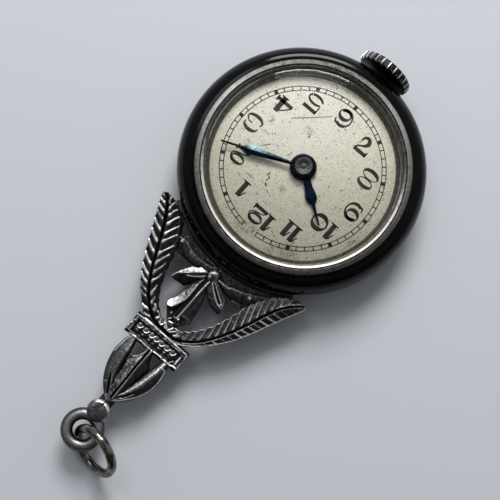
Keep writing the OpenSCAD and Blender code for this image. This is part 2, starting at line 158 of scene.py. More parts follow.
def swung(section, degrees):
    """A section of radius and height, stood up at each of these angles round Z."""
    turns = [math.radians(a) for a in degrees]
    return [(r * math.cos(a), r * math.sin(a), z) for a in turns for r, z in section]


def tube(verts, n):
    """A bar with flat ends from the rows of n points along it."""
    rows = len(verts) // n
    ends = [tuple(range(n)), tuple(reversed(range(len(verts) - n, len(verts))))]
    return verts, skin(rows, n, closed=False) + ends


def lathe(section, steps):
    """A closed section of radius and height turned round Z."""
    return swung(section, [360 * k / steps for k in range(steps)]), skin(steps, len(section))


def lathe_solid(profile, steps):
    """A solid of revolution: the profile runs from the axis at the bottom to the axis at the top."""
    n = len(profile) - 2
    side = swung(profile[1:-1], [360 * k / steps for k in range(steps)])
    verts = [(0, 0, profile[0][1]), *side, (0, 0, profile[-1][1])]
    faces = skin(steps, n, wrap=False, first=1)
    for k in range(steps):
        m = (k + 1) % steps
        faces.extend([(0, 1 + m * n, 1 + k * n), (k * n + n, m * n + n, len(verts) - 1)])
    return verts, faces


def moved(part, turn=None, shift=(0, 0, 0)):
    """The same part with its points turned by a matrix and then shifted."""
    verts = np.asarray(part[0], float)
    if turn is not None:
        verts = verts @ np.asarray(turn, float).T
    return (list(map(tuple, verts + np.asarray(shift, float))), *part[1:])


def smooth_line(points, count, closed=False):
    """Points along a Catmull-Rom curve through these points, which may have any number of columns."""
    p = np.asarray(points, float)
    n = len(p)
    spans = n if closed else n - 1
    made = []
    for k in range(count):
        t = k * spans / (count if closed else count - 1)
        i = min(int(t), spans - 1)
        f = t - i
        if closed:
            a, b, c, d = p[i - 1], p[i], p[(i + 1) % n], p[(i + 2) % n]
        else:
            b, c = p[i], p[i + 1]
            a = p[i - 1] if i else 2 * b - c
            d = p[i + 2] if i + 2 < n else 2 * c - b
        made.append(0.5 * (2 * b + (c - a) * f + (2 * a - 5 * b + 4 * c - d) * f * f
                           + (3 * b - a - 3 * c + d) * f ** 3))
    return np.array(made)


# Materials


def put(tree, socket, value):
    """Links an output to a socket, or sets a plain value on it."""
    if isinstance(value, bpy.types.NodeSocket):
        tree.links.new(value, socket)
    elif socket.type == "RGBA":
        socket.default_value = (*value, 1)
    else:
        socket.default_value = value


def add_node(tree, kind, *values, **named):
    """A new shader node with its inputs set or linked, in their order or by name."""
    node = tree.nodes.new("ShaderNode" + kind)
    for socket, value in zip(node.inputs, values):
        put(tree, socket, value)
    for key, value in named.items():
        put(tree, node.inputs[key], value)
    return node


class Shader:
    """A node material with a Principled shader and textures in millimetres of the piece's own frame."""

    def __init__(self, name, color=(0.5, 0.5, 0.5), metallic=0.0, roughness=0.5, specular=0.5):
        self.material = bpy.data.materials.new(name)
        self.material.use_nodes = True
        self.tree = self.material.node_tree
        self.main = self.tree.nodes["Principled BSDF"]
        self.finish(color, roughness)
        self.main.inputs["Metallic"].default_value = metallic
        self.main.inputs["Specular IOR Level"].default_value = specular
        self.place = self.add("TexCoord").outputs["Object"]
        self.place = self.stretched((1 / MM, 1 / MM, 1 / MM))

    def add(self, kind, *values, **named):
        """A new node of this material."""
        return add_node(self.tree, kind, *values, **named)

    def finish(self, color, roughness):
        """Sets or links the shader's colour and roughness."""
        put(self.tree, self.main.inputs["Base Color"], color)
        put(self.tree, self.main.inputs["Roughness"], roughness)

    def stretched(self, scale, turn=(0, 0, 0)):
        """The place, stretched and turned, for streaks."""
        return self.add("Mapping", Vector=self.place, Scale=scale, Rotation=turn).outputs["Vector"]

    def noise(self, per_mm, detail, rough, place=None, distort=0.0):
        """Cloudy noise with this many blotches in a millimetre."""
        node = self.add("TexNoise", Vector=place or self.place, Scale=per_mm, Detail=detail, Roughness=rough,
                        Distortion=distort)
        return node.outputs["Fac"]

    def cells(self, per_mm):
        """Distance to the nearest of scattered points."""
        return self.add("TexVoronoi", Vector=self.place, Scale=per_mm).outputs["Distance"]

    def ramp(self, value, low, high, a=0.0, b=1.0, smooth=True):
        """Maps low..high onto a..b, held at both ends."""
        node = self.add("MapRange", value, low, high, a, b)
        node.interpolation_type = "SMOOTHSTEP" if smooth else "LINEAR"
        return node.outputs["Result"]

    def math(self, kind, a, b):
        """The sum, product or larger of two values."""
        node = self.add("Math", a, b)
        node.operation = kind
        return node.outputs["Value"]

    def mix(self, share, a, b):
        """Colour a turned into colour b by a share."""
        node = self.add("Mix", share)
        node.data_type = "RGBA"
        put(self.tree, node.inputs[6], a)
        put(self.tree, node.inputs[7], b)
        return node.outputs[2]

    def blend(self, value, first, *steps):
        """A first colour and others over it as a value rises: a low, a high, a colour and perhaps a share."""
        for low, high, color, *share in steps:
            first = self.mix(self.ramp(value, low, high, 0.0, *share), first, color)
        return first

    def mark(self, name):
        """A value stored at the mesh's points."""
        node = self.add("Attribute")
        node.attribute_name = name
        return node.outputs["Fac"]

    def worn(self, *changes):
        """The stored wear with noise on it. Each change is a noise, its low and high and what they add."""
        amount = self.mark("wear")
        for change in changes:
            amount = self.math("ADD", amount, self.ramp(*change))
        return amount

    def vector(self, kind, *values):
        """The distance between two places, or the length of one."""
        node = self.add("VectorMath", *values)
        node.operation = kind
        return node.outputs["Value"]

    def near(self, x, y, z, radius, soft):
        """1 inside a ball round a point in millimetres, falling to 0 over the soft width."""
        return self.ramp(self.vector("DISTANCE", self.place, (x, y, z)), radius + soft, radius)

    def radius(self):
        """Distance from the case's axis in millimetres."""
        return self.vector("LENGTH", self.stretched((1, 1, 0)))

    def bump(self, height, depth, strength):
        """Adds bump of this depth in millimetres on top of what is there."""
        node = self.add("Bump", Strength=strength, Distance=depth * MM, Height=height)
        normal = self.main.inputs["Normal"]
        if normal.links:
            self.tree.links.new(normal.links[0].from_socket, node.inputs["Normal"])
        self.tree.links.new(node.outputs["Normal"], normal)


def enamel():
    """Glossy black enamel with faint waves, fine scuffs and a few pinholes."""
    s = Shader("black_enamel", (0.0012, 0.0012, 0.0014), roughness=0.06, specular=0.16)
    scuff = s.ramp(s.noise(0.9, 6, 0.65), 0.5, 0.8)
    fine = s.ramp(s.noise(9, 3, 0.6, s.stretched((1, 1, 0.3))), 0.3, 0.8, 0.09, 0.13)
    s.finish(s.mix(scuff, (0.001, 0.001, 0.0012), (0.0035, 0.0035, 0.004)),
             s.math("ADD", s.math("MULTIPLY", scuff, 0.12), fine))
    s.bump(s.noise(0.28, 2, 0.4), 0.04, 0.3)
    s.bump(s.ramp(s.cells(0.9), 0.03, 0.07), 0.015, 0.25)
    return s.material


def cast_silver():
    """Darkened cast silver: black oxide in the recesses, worn bright on the crests. Its stored wear also
    holds painted highlights on the ball, the loop and a tail of the bow.
    """
    s = Shader("cast_silver", metallic=1.0, roughness=0.35)
    grain = s.noise(7, 5, 0.7)
    blotch = s.noise(1.3, 4, 0.6)
    amount = s.worn((grain, 0.3, 0.7, -0.06, 0.06), (blotch, 0.3, 0.7, -0.04, 0.04))
    color = s.blend(amount, (0.024, 0.024, 0.026), (0.0, 0.18, (0.076, 0.076, 0.079)),
                    (0.16, 0.5, (0.34, 0.335, 0.33)), (0.5, 0.9, (0.95, 0.94, 0.92)))
    s.finish(color, s.ramp(amount, 0.1, 0.7, 0.34, 0.48))
    s.bump(grain, 0.01, 0.5)
    s.bump(s.noise(22, 2, 0.5), 0.008, 0.5)
    return s.material


def worn_silver():
    """Bezel silver: worn, with fine slanting scratches across the rim and tarnish in the grooves. Its stored
    wear also holds painted light and shade by the turn from the window.
    """
    s = Shader("bezel_silver", metallic=1.0, roughness=0.3)
    blotch = s.noise(1.1, 5, 0.65)
    grain = s.noise(10, 4, 0.7)
    scratches = s.noise(1.6, 4, 0.7, s.stretched((1.5, 9, 4), (0, 0, 0.7)), 0.4)
    amount = s.worn((blotch, 0.3, 0.7, -0.1, 0.08), (scratches, 0.38, 0.62, -0.18, 0.16),
                    (grain, 0.36, 0.64, -0.16, 0.16))
    matt = s.mark("matt")
    high = s.mix(matt, (0.33, 0.32, 0.3), (0.66, 0.635, 0.565))
    color = s.blend(amount, (0.015, 0.015, 0.015), (0.0, 0.4, (0.14, 0.135, 0.125)), (0.45, 1.0, high))
    s.finish(color, s.math("MAXIMUM", s.ramp(amount, 0.45, 1.0, 0.5, 0.38), s.math("MULTIPLY", matt, 0.56)))
    s.bump(grain, 0.01, 0.4)
    s.bump(scratches, 0.018, 0.5)
    return s.material


def metal(name, roughness, blotch, low, high, grain, fleck, rough, bump):
    """A metal in two tones by blotches, with flecks, roughness and bump by its grain.

    blotch and grain hold a noise's values. low is a colour, and high and fleck are steps of blend.
    rough is a range, and bump holds a depth and a strength.
    """
    s = Shader(name, metallic=1.0, roughness=roughness)
    fine = s.noise(*grain)
    base = s.blend(s.noise(*blotch), low, high)
    s.finish(s.blend(fine, base, fleck), s.ramp(fine, 0.3, 0.7, *rough))
    s.bump(fine, *bump)
    return s.material


def ring_silver():
    """Tarnished ring between the bezel and the dial."""
    return metal("dial_ring", 0.38, (2.4, 5, 0.7), (0.14, 0.137, 0.128), (0.3, 0.72, (0.3, 0.295, 0.278)),
                 (14, 4, 0.75), (0.52, 0.7, (0.46, 0.45, 0.42)), (0.5, 0.3), (0.02, 0.7))


def wire_silver():
    """Tarnished silver wire of the jump ring, brownish in the lows."""
    return metal("jump_ring_silver", 0.2, (1.2, 5, 0.65), (0.06, 0.048, 0.036),
                 (0.35, 0.65, (0.27, 0.255, 0.235)), (9, 4, 0.7), (0.55, 0.75, (0.5, 0.48, 0.445)),
                 (0.22, 0.1), (0.01, 0.5))


def dark_steel(name, low, high, scratch):
    """Near-black blued steel of the boss, and the deep blue of the hour hand."""
    return metal(name, 0.3, (0.9, 3, 0.6), low, (0.3, 0.7, high), (9, 4, 0.7), (0.56, 0.76, scratch),
                 (0.26, 0.42), (0.012, 0.6))


# Brown stains on the dial: x, y, z, radius and soft width, in the dial's own millimetres
STAINS = [
    (-4.6, 8.05, DIAL_Z, 0.5, 1.1), (-4.2, 7.0, DIAL_Z, 0.1, 0.6), (0.9, 8.85, DIAL_Z, 0.3, 0.8),
    (0.0, 8.75, DIAL_Z, 0.2, 0.9), (-2.9, 8.9, DIAL_Z, 0.1, 0.8), (-9.2, 2.8, DIAL_Z, 0.1, 0.8),
    (2.1, -3.5, DIAL_Z, 0.2, 0.5), (5.9, -1.9, DIAL_Z, 0.1, 0.5), (6.35, 1.7, DIAL_Z, 0.1, 0.45),
    (0.2, 3.2, DIAL_Z, 0.1, 0.5),
]
# Scratches and crusts of dirt on the dial: x, y and width along each
SCRATCHES = [
    [(4.42, -3.35, 0.05), (2.83, -4.8, 0.07), (1.17, -6.37, 0.04)],
    [(4.97, 1.04, 0.03), (4.29, 0.25, 0.09)],
    [(5.78, -0.48, 0.03), (5.02, -0.41, 0.04)],
    [(2.08, 0.07, 0.04), (1.96, -0.53, 0.06)],
    [(4.3, 4.32, 0.03), (3.75, 4.3, 0.05), (3.2, 4.3, 0.03)],
    [(1.53, 4.29, 0.05), (1.28, 4.4, 0.03), (1.03, 4.43, 0.05)],
    [(0.8, 4.58, 0.08), (0.65, 4.67, 0.06)],
]
CRUSTS = [
    [(2.3, 2.61, 0.05), (2.36, 2.9, 0.09), (2.42, 3.07, 0.05)],
    [(2.2, 2.95, 0.06), (2.05, 3.2, 0.12), (2.01, 3.3, 0.05)],
    [(2.15, 3.45, 0.1), (2.05, 3.6, 0.06)],
    [(2.0, 3.8, 0.12), (1.9, 3.95, 0.14), (1.65, 4.01, 0.06)],
    [(-1.8, 7.3, 0.1), (-1.9, 7.35, 0.16)],
    [(-2.36, 7.53, 0.12), (-2.44, 7.6, 0.12)],
    [(-2.03, 7.4, 0.08), (-2.1, 7.44, 0.08)],
    [(-1.28, -2.42, 0.12), (-1.36, -2.46, 0.12)],
    [(-1.6, -0.03, 0.16), (-1.7, -0.07, 0.16)],
    [(4.18, -2.87, 0.12), (4.26, -2.92, 0.12)],
    [(5.24, -5.39, 0.05), (5.31, -5.44, 0.05)],
    [(7.45, 0.88, 0.13), (7.53, 0.92, 0.13)],
    [(1.7, -2.95, 0.12), (1.6, -3.1, 0.14)],
]


# Specks of the dial: how many in a millimetre, radius and colour
SPECKS = [(1.15, 0.15, (0.12, 0.08, 0.05)), (2.6, 0.22, (0.22, 0.17, 0.11)), (5.5, 0.3, (0.33, 0.28, 0.19))]


def dial_paint():
    """Aged cream dial with mottling, brown specks and stains, painted light on the window's side and painted
    shade in blotches at its edge.
    """
    s = Shader("dial", roughness=0.5, specular=0.3)
    mottle = s.noise(2.6, 5, 0.7)
    grain = s.noise(12, 4, 0.7)
    base = s.blend(s.noise(0.35, 4, 0.6), (0.9, 0.865, 0.7), (0.3, 0.7, (0.97, 0.945, 0.81)))
    base = s.blend(mottle, base, (0.42, 0.62, (0.76, 0.71, 0.55), 0.7))
    base = s.blend(grain, base, (0.5, 0.7, (0.45, 0.4, 0.29), 0.42))
    # Painted light and shade: the dial is paler towards the window's side and darker on the far side
    pale = s.near(4.5, -5.4, DIAL_Z, 3.0, 9.5)
    base = s.mix(s.math("MULTIPLY", pale, 0.6), base, (1.0, 0.985, 0.9))
    base = s.mix(s.ramp(pale, 0.0, 0.5, 0.2, 0.0), base, (0.74, 0.7, 0.56))
    hair = s.noise(1.6, 3, 0.6, s.stretched((0.5, 9, 1), (0, 0, 0.9)), 0.4)
    base = s.blend(hair, base, (0.66, 0.74, (0.95, 0.93, 0.84), 0.35))
    stain = s.near(*STAINS[0])
    for place in STAINS[1:]:
        stain = s.math("MAXIMUM", stain, s.near(*place))
    ragged = s.math("MULTIPLY", stain, s.ramp(s.noise(5.0, 5, 0.75), 0.42, 0.6))
    base = s.mix(s.math("MULTIPLY", ragged, 0.85), base, (0.27, 0.18, 0.1))
    # Painted shade: the dial darkens in blotches towards its edge, at the foot of the ring that stands over
    # it
    edge = s.math("MULTIPLY", s.ramp(s.radius(), 9.2, 10.2), s.ramp(mottle, 0.3, 0.7, 0.1, 0.5))
    base = s.mix(edge, base, (0.42, 0.37, 0.25))
    gate = s.ramp(s.noise(0.8, 2, 0.5), 0.34, 0.48)
    for per_mm, size, ink in SPECKS:
        spot = s.math("MULTIPLY", s.ramp(s.cells(per_mm), size, size * 0.5), gate)
        base = s.mix(s.math("MULTIPLY", spot, 0.8), base, ink)
    s.finish(base, s.ramp(mottle, 0.3, 0.7, 0.58, 0.42))
    s.bump(grain, 0.01, 0.5)
    return s.material


def print_ink():
    """Black print, greyed and chipped with age."""
    s = Shader("dial_print", roughness=0.5, specular=0.3)
    base = s.blend(s.noise(0.9, 3, 0.6), (0.018, 0.017, 0.015), (0.35, 0.7, (0.045, 0.042, 0.036)))
    s.finish(s.blend(s.noise(6, 4, 0.75), base, (0.6, 0.7, (0.22, 0.2, 0.14))), 0.5)
    return s.material


def blued_steel():
    """Blued steel of the minute hand: pale with whitish flecks on the face towards the window, a painted
    highlight, dark on the other face, near black at the tip.
    """
    s = Shader("blued_steel", metallic=1.0, roughness=0.26)
    grain = s.noise(9, 4, 0.7)
    worn = s.mark("wear")
    base = s.blend(s.noise(0.8, 3, 0.6), (0.006, 0.02, 0.042), (0.3, 0.7, (0.012, 0.045, 0.075)))
    # Painted highlight: the marked face towards the window is paler, and its flecks here are painted sheen
    base = s.blend(worn, base, (0.2, 0.8, (0.05, 0.115, 0.155)))
    scratched = s.math("MULTIPLY", s.ramp(grain, 0.46, 0.62), s.ramp(worn, 0.1, 0.8))
    base = s.mix(scratched, base, (0.36, 0.45, 0.49))
    s.finish(s.blend(s.radius(), base, (6.5, 7.1, (0.02, 0.017, 0.016))), s.ramp(grain, 0.3, 0.7, 0.24, 0.4))
    s.bump(grain, 0.01, 0.6)
    return s.material


def cap_steel():
    """Dark grey steel of the cap over the hands, turned and slightly rough."""
    s = Shader("arbor_steel", metallic=1.0, roughness=0.45)
    grain = s.noise(7, 4, 0.75)
    s.finish(s.blend(grain, (0.022, 0.024, 0.026), (0.3, 0.7, (0.15, 0.155, 0.16))),
             s.ramp(grain, 0.3, 0.7, 0.5, 0.34))
    s.bump(grain, 0.035, 0.9)
    return s.material


def crown_metal():
    """Dark plated crown, painted bright along one edge of each rib: a painted highlight where the ribs catch
    the window.
    """
    s = Shader("crown_steel", metallic=1.0, roughness=0.3)
    grain = s.noise(8, 4, 0.7)
    amount = s.worn((grain, 0.3, 0.7, -0.1, 0.1))
    color = s.blend(amount, (0.022, 0.022, 0.023), (0.1, 0.5, (0.2, 0.2, 0.2)), (0.5, 0.9, (0.93, 0.92, 0.9)))
    s.finish(color, s.ramp(amount, 0.1, 1.0, 0.4, 0.5))
    s.bump(grain, 0.01, 0.5)
    return s.material


def brass():
    """Brass of the hidden movement, finely brushed."""
    s = Shader("movement_brass", metallic=1.0, roughness=0.35)
    lines = s.noise(6, 3, 0.6, s.stretched((1, 12, 1)))
    s.finish(s.blend(lines, (0.42, 0.3, 0.12), (0.3, 0.7, (0.62, 0.46, 0.21))), 0.35)
    s.bump(lines, 0.01, 0.5)
    return s.material


def clear_crystal():
    """Clear crystal: light passes straight through, and its surface mirrors by angle with a dim colour of
    0.12, so the light the mirror share takes is lost as painted shade on what lies beneath; at the rim the
    mirror rises to 2.0, a painted highlight.
    """
    s = Shader("crystal")
    s.tree.nodes.remove(s.main)
    # Painted shade over the face and a painted highlight at the rim, set by the mirror's colour
    mirror = s.ramp(s.radius(), 10.28, 10.42, 0.12, 2.0, smooth=False)
    clear = s.add("BsdfTransparent", Color=(1.0, 1.0, 0.995))
    gloss = s.add("BsdfGlossy", Color=mirror, Roughness=0.03)
    share = s.math("MULTIPLY", s.add("Fresnel", IOR=1.33).outputs["Fac"], 0.76)
    mixed = s.add("MixShader", share, clear.outputs["BSDF"], gloss.outputs["BSDF"])
    s.tree.links.new(mixed.outputs["Shader"], s.tree.nodes["Material Output"].inputs["Surface"])
    return s.material


# The cast ornament


# Distances that stand for outside a plate's outline, and for out of a line's reach
OUTSIDE = -9.0
FAR = 99.0
# A height below the whole upper surface of the plate
GROUND_Z = 2.4


def bell(x, half):
    """1 where x is 0, falling smoothly to nothing beyond this half width."""
    return np.exp(-(x / half) ** 2)


def over(old, new, share):
    """Old values turned into new ones by a share, held between 0 and 1."""
    return old + (new - old) * np.clip(share, 0, 1)


class Relief:
    """A cast plate drawn as a height and a tone above each point of a fine grid, with a smooth outline.

    Tone runs from 0, black oxide, to 1, silver worn bright.
    """

    def __init__(self, low, high, step):
        self.step = step
        self.x, self.y = np.meshgrid(*(np.arange(a, b + step, step) for a, b in zip(low, high)))
        self.height = np.full(self.x.shape, GROUND_Z)
        self.inside = np.full(self.x.shape, OUTSIDE)
        self.tone = np.zeros(self.x.shape)

    def body(self, inside, height, tone):
        """Lays a solid area over the others. inside is the distance in from its outline."""
        higher = (inside > 0) & (height > self.height)
        self.height = np.where(higher, height, self.height)
        self.tone = np.where(higher, tone, self.tone)
        self.inside = np.maximum(self.inside, inside)

    def line(self, x, points, half, rise, tone):
        """Raises a rounded line on what is there, or sinks one, and blends its tone in.

        half is the line's half width, or a table of share along the line and half width.
        """
        share, _, left, past = self.along(x, smooth_line(points, 24 * len(points)), 0.8)
        width = value_at(half, share)
        near = bell(np.hypot(left, np.maximum(past, 0)), width)
        self.height = self.height + np.minimum(rise, 1.1 * width) * near
        self.tone = over(self.tone, tone, 1.4 * near)

    def dot(self, x, middle, radius, rise, tone, stretch=1.0, turn=0):
        """Raises a rounded spot, longer by stretch along its turned axis."""
        a = math.radians(turn)
        dx, dy = x - middle[0], self.y - middle[1]
        u = (dx * math.cos(a) + dy * math.sin(a)) / stretch
        v = dy * math.cos(a) - dx * math.sin(a)
        near = bell(np.hypot(u, v), radius)
        self.height = self.height + rise * near
        self.tone = over(self.tone, tone, 1.25 * near)

    def grains(self, size, seed):
        """Smooth random values around 0 with a deviation of 1, in blobs of about this size."""
        made = self.blur(np.random.default_rng(seed).standard_normal(self.x.shape), size / 2)
        return made / made.std()

    def blur(self, values, sigma):
        """Gaussian blur by a width in millimetres."""
        fy = np.fft.fftfreq(values.shape[0], self.step)[:, None]
        fx = np.fft.rfftfreq(values.shape[1], self.step)[None, :]
        gain = np.exp(-2 * (math.pi * sigma) ** 2 * (fx ** 2 + fy ** 2))
        return np.fft.irfft2(np.fft.rfft2(values) * gain, values.shape)

    def polygon(self, x, outline):
        """Signed distance in from a closed outline, at the grid's points with this x."""
        p = np.asarray(outline, float)
        best = np.full(x.shape, np.inf)
        odd = np.zeros(x.shape, bool)
        for a, b in zip(p, np.roll(p, -1, 0)):
            ex, ey = b - a
            wx, wy = x - a[0], self.y - a[1]
            t = np.clip((wx * ex + wy * ey) / (ex * ex + ey * ey), 0, 1)
            best = np.minimum(best, (wx - ex * t) ** 2 + (wy - ey * t) ** 2)
            if ey:
                cross = (a[1] > self.y) != (b[1] > self.y)
                odd ^= cross & (x < ex * (self.y - a[1]) / ey + a[0])
        return np.where(odd, 1, -1) * np.sqrt(best)

    def along(self, x, line, reach=2.6, y=None):
        """Share of a line, length along it, distance to its left and way past its ends, within this reach."""
        y = self.y if y is None else y
        line = np.asarray(line, float)[:, :2]
        length = np.concatenate([[0], np.cumsum(np.linalg.norm(np.diff(line, axis=0), axis=1))])
        way = np.gradient(line, axis=0)
        way /= np.linalg.norm(way, axis=1)[:, None]
        low, high = line.min(0) - reach, line.max(0) + reach
        near = (x > low[0]) & (x < high[0]) & (y > low[1]) & (y < high[1])
        px, py = x[near], y[near]
        best = np.full(px.shape, np.inf)
        index = np.zeros(px.shape, int)
        for i, (ax, ay) in enumerate(line):
            gap = (px - ax) ** 2 + (py - ay) ** 2
            closer = gap < best
            best[closer] = gap[closer]
            index[closer] = i
        dx, dy = px - line[index, 0], py - line[index, 1]
        wx, wy = way[index].T
        ahead = dx * wx + dy * wy
        run = length[index] + ahead
        past = np.where(index == 0, -ahead, np.where(index == len(line) - 1, ahead, 0))
        made = []
        for values, blank in ((run / length[-1], 0.0), (run, OUTSIDE), (dy * wx - dx * wy, FAR), (past, FAR)):
            made.append(np.full(x.shape, blank))
            made[-1][near] = values
        return made

    def left_of(self, x, points):
        """Distance to the left of a smooth line through these points."""
        return self.along(x, smooth_line(points, 120))[2]

    def solid(self, edge, low_z, inset):
        """Points, faces and marks of the finished plate with rounded edges and a flat back."""
        s = self.inside
        body = s > 0
        # What stands above its surroundings is worn brighter
        around = 0.22
        share = np.maximum(self.blur(body.astype(float), around), 0.05)
        stand = self.height - self.blur(np.where(body, self.height, 0), around) / share
        wear = self.tone + np.clip(stand / 0.12, -1, 1) * 0.16
        bend = 1 - np.clip(s / edge, 0, 1)
        height = self.height - edge * (1 - np.sqrt(1 - bend ** 2))
        number = np.full(s.shape, -1)
        number[body] = np.arange(body.sum())
        verts = list(zip(self.x[body], self.y[body], height[body]))
        marks = list(np.clip(wear[body], 0, 1.2))
        gy, gx = np.gradient(s, self.step)
        inward, crossings = {}, {}

        def crossing(a, b):
            """The outline's point between an inside node and an outside node."""
            if (a, b) not in crossings:
                t = np.clip(s[a] / (s[a] - s[b]), 0.08, 0.92)
                crossings[a, b] = len(verts)
                slope = np.array([gx[a], gy[a]])
                inward[len(verts)] = slope / max(np.linalg.norm(slope), 1e-6)
                x, y = (values[a] + t * (values[b] - values[a]) for values in (self.x, self.y))
                verts.append((x, y, height[a] - 0.4 * edge * t))
                marks.append(max(wear[a] * 0.8, 0))
            return crossings[a, b]

        faces, rim = [], []
        count = body[:-1, :-1].astype(int) + body[1:, :-1] + body[:-1, 1:] + body[1:, 1:]
        for r, c in np.argwhere(count > 0):
            corners = [(r, c), (r, c + 1), (r + 1, c + 1), (r + 1, c)]
            loop, outs, ins = [], [], []
            for k, a in enumerate(corners):
                b = corners[(k + 1) % 4]
                if body[a]:
                    loop.append(number[a])
                if body[a] != body[b]:
                    point = crossing(a, b) if body[a] else crossing(b, a)
                    (outs if body[a] else ins).append((len(loop), point))
                    loop.append(point)
            faces.append(loop)
            for place, point in outs:
                following = min(ins, key=lambda cut: (cut[0] - place) % (len(loop) + 1))
                rim.append((point, following[1]))
        # The wall goes down in rows and turns in to the flat back: height over the back and shift inwards
        ring = sorted({v for pair in rim for v in pair})
        upper = {v: v for v in ring}
        for rise, shift in ((0.5, 0), (inset, 0), (0.3 * inset, 0.35 * inset), (0, inset)):
            lower = {v: len(verts) + i for i, v in enumerate(ring)}
            for v in ring:
                x, y, z = verts[v]
                verts.append((x + inward[v][0] * shift, y + inward[v][1] * shift, min(low_z + rise, z)))
            marks.extend([0.2] * len(ring))
            faces.extend((upper[b], upper[a], lower[a], lower[b]) for a, b in rim)
            upper = lower
        faces.extend(flat_fill(verts, [(upper[a], upper[b]) for a, b in rim]))
        return verts, faces, {"wear": marks}


def flat_fill(verts, edges):
    """Triangles that fill a flat outline with holes, from its edges."""
    fill = bmesh.new()
    ends = dict.fromkeys(v for pair in edges for v in pair)
    made = {v: fill.verts.new((verts[v][0], verts[v][1], 0)) for v in ends}
    back = {p: v for v, p in made.items()}
    lines = []
    for a, b in edges:
        if fill.edges.get((made[a], made[b])) is None:
            lines.append(fill.edges.new((made[a], made[b])))
    bmesh.ops.triangle_fill(fill, edges=lines, use_beauty=True)
    faces = [tuple(back[p] for p in face.verts) for face in fill.faces]
    fill.free()
    return faces


def value_at(table, share):
    """A number, or a table of share and value read off at each share."""
    return table if isinstance(table, float) else np.interp(share, *np.transpose(table))


def step_up(x, low, high):
    """0 below low and 1 above high, smooth between."""
    t = np.clip((x - low) / (high - low), 0, 1)
    return t * t * (3 - 2 * t)


# The ornament's two sides differ a little, as cast. Side 1 is towards +X and side -1 towards -X.
# Points below are measured from the ornament's middle line, outwards on the side they belong to.

# Middle line of a branch: from the middle of the ornament to the branch's start, then a curve to its tip
BRANCH_START = [(0.0, 22.78), (0.6, 22.78), (1.2, 22.74)]
BRANCH_CURVE = [(1.7, 22.6), (5.3, 20.5), (6.25, 15.5), (9.45, 11.35)]
START_LENGTH = 1.74
# Distance along a branch from its start, outer half width, inner half width, sideways place of the midrib
BRANCH_WIDTH = {
    1: [(-1.8, 0.5, 1.15, -0.12), (0, 0.72, 0.9, -0.1), (2, 0.86, 0.88, 0.12), (4, 1.13, 1.1, 0.15),
        (6, 1.22, 1.45, 0.12), (8, 1.2, 1.85, 0.02), (9.5, 1.13, 1.92, -0.08), (11.3, 1.02, 1.75, -0.12),
        (12.5, 0.86, 1.25, -0.1), (13.4, 0.72, 0.7, -0.05), (14.0, 0.48, 0.08, 0.1)],
    -1: [(-1.8, 0.5, 1.15, -0.12), (0, 0.36, 1.12, -0.08), (2, 0.5, 1.22, -0.02), (4, 0.7, 1.36, -0.05),
         (6, 0.9, 1.6, -0.08), (8, 0.91, 1.95, -0.2), (9.5, 0.83, 2.05, -0.36), (11.3, 0.71, 1.85, -0.5),
         (12.5, 0.61, 1.35, -0.42), (13.5, 0.46, 0.85, -0.2), (14.05, 0.3, 0.1, 0.0)],
}
# Where each leaflet's crest leaves the midrib, along the branch
OUTER_CREST = {
    1: [0.4, 1.3, 2.5, 3.15, 4.0, 4.85, 6.0, 7.3, 8.5, 9.75, 10.9, 11.8, 12.7, 13.5],
    -1: [1.7, 2.6, 3.5, 4.4, 5.2, 6.0, 6.8, 7.6, 8.25, 8.95, 9.8, 10.6, 11.5, 12.4, 13.3],
}
INNER_CREST = {
    1: [-1.7, -0.95, 0.1, 1.15, 1.95, 2.9, 4.25, 5.15, 6.2, 7.2, 8.5, 9.5, 10.6, 11.5, 12.3, 13.0],
    -1: [-1.6, -0.65, 0.3, 1.1, 2.0, 3.0, 3.9, 4.8, 5.8, 6.8, 7.7, 8.6, 9.5, 10.4, 11.3, 12.2],
}
# Slant, bend and half width of the crests, on the outer side and on the inner side
CREST_SHAPE = {1: [(1.2, 1.45, 0.115), (0.95, 1.35, 0.1)], -1: [(0.7, 1.0, 0.07), (1.1, 1.05, 0.07)]}
# Brightness of each outer crest, in the same order
OUTER_SHINE = {
    1: [0.2, 1.0, 0.3, 0.35, 0.8, 1.1, 1.1, 1.05, 1.1, 1.0, 0.5, 0.9, 0.85, 0.4],
    -1: [0.2, 0.3, 0.95, 0.25, 0.35, 0.95, 0.6, 0.6, 0.35, 0.85, 0.65, 0.45, 0.25, 0.15, 0.15],
}
# Inner crests of the +X branch, which are chunky and uneven: distance along the branch and from the midrib
INNER_STROKE = [
    [(-1.5, -0.3), (-1.2, -0.7), (-0.8, -0.95)],
    [(-0.6, -0.3), (-0.3, -0.62), (0.0, -0.85)],
    [(0.1, -0.26), (0.3, -0.72), (0.8, -0.74)],
    [(1.1, -0.42), (1.4, -0.56), (1.75, -0.56)],
    [(1.95, -0.2), (2.2, -0.45), (2.5, -0.65)],
    [(2.9, -0.22), (3.3, -0.5), (3.8, -0.82)],
    [(4.25, -0.18), (4.7, -0.8), (5.15, -1.08)],
    [(5.15, -0.18), (5.8, -0.85), (6.4, -1.25)],
    [(6.2, -0.2), (6.9, -0.85), (7.4, -1.42)],
    [(7.2, -0.2), (7.8, -0.85), (8.4, -1.6)],
    [(8.6, -0.3), (9.1, -0.9), (9.6, -1.62)],
    [(9.5, -0.35), (10.0, -0.9), (10.5, -1.6)],
    [(10.6, -0.42), (11.1, -0.9), (11.5, -1.5)],
    [(11.5, -0.38), (11.9, -0.75), (12.2, -1.2)],
    [(12.2, -0.28), (12.6, -0.55), (12.9, -0.9)],
    [(12.9, -0.16), (13.2, -0.32), (13.5, -0.5)],
]
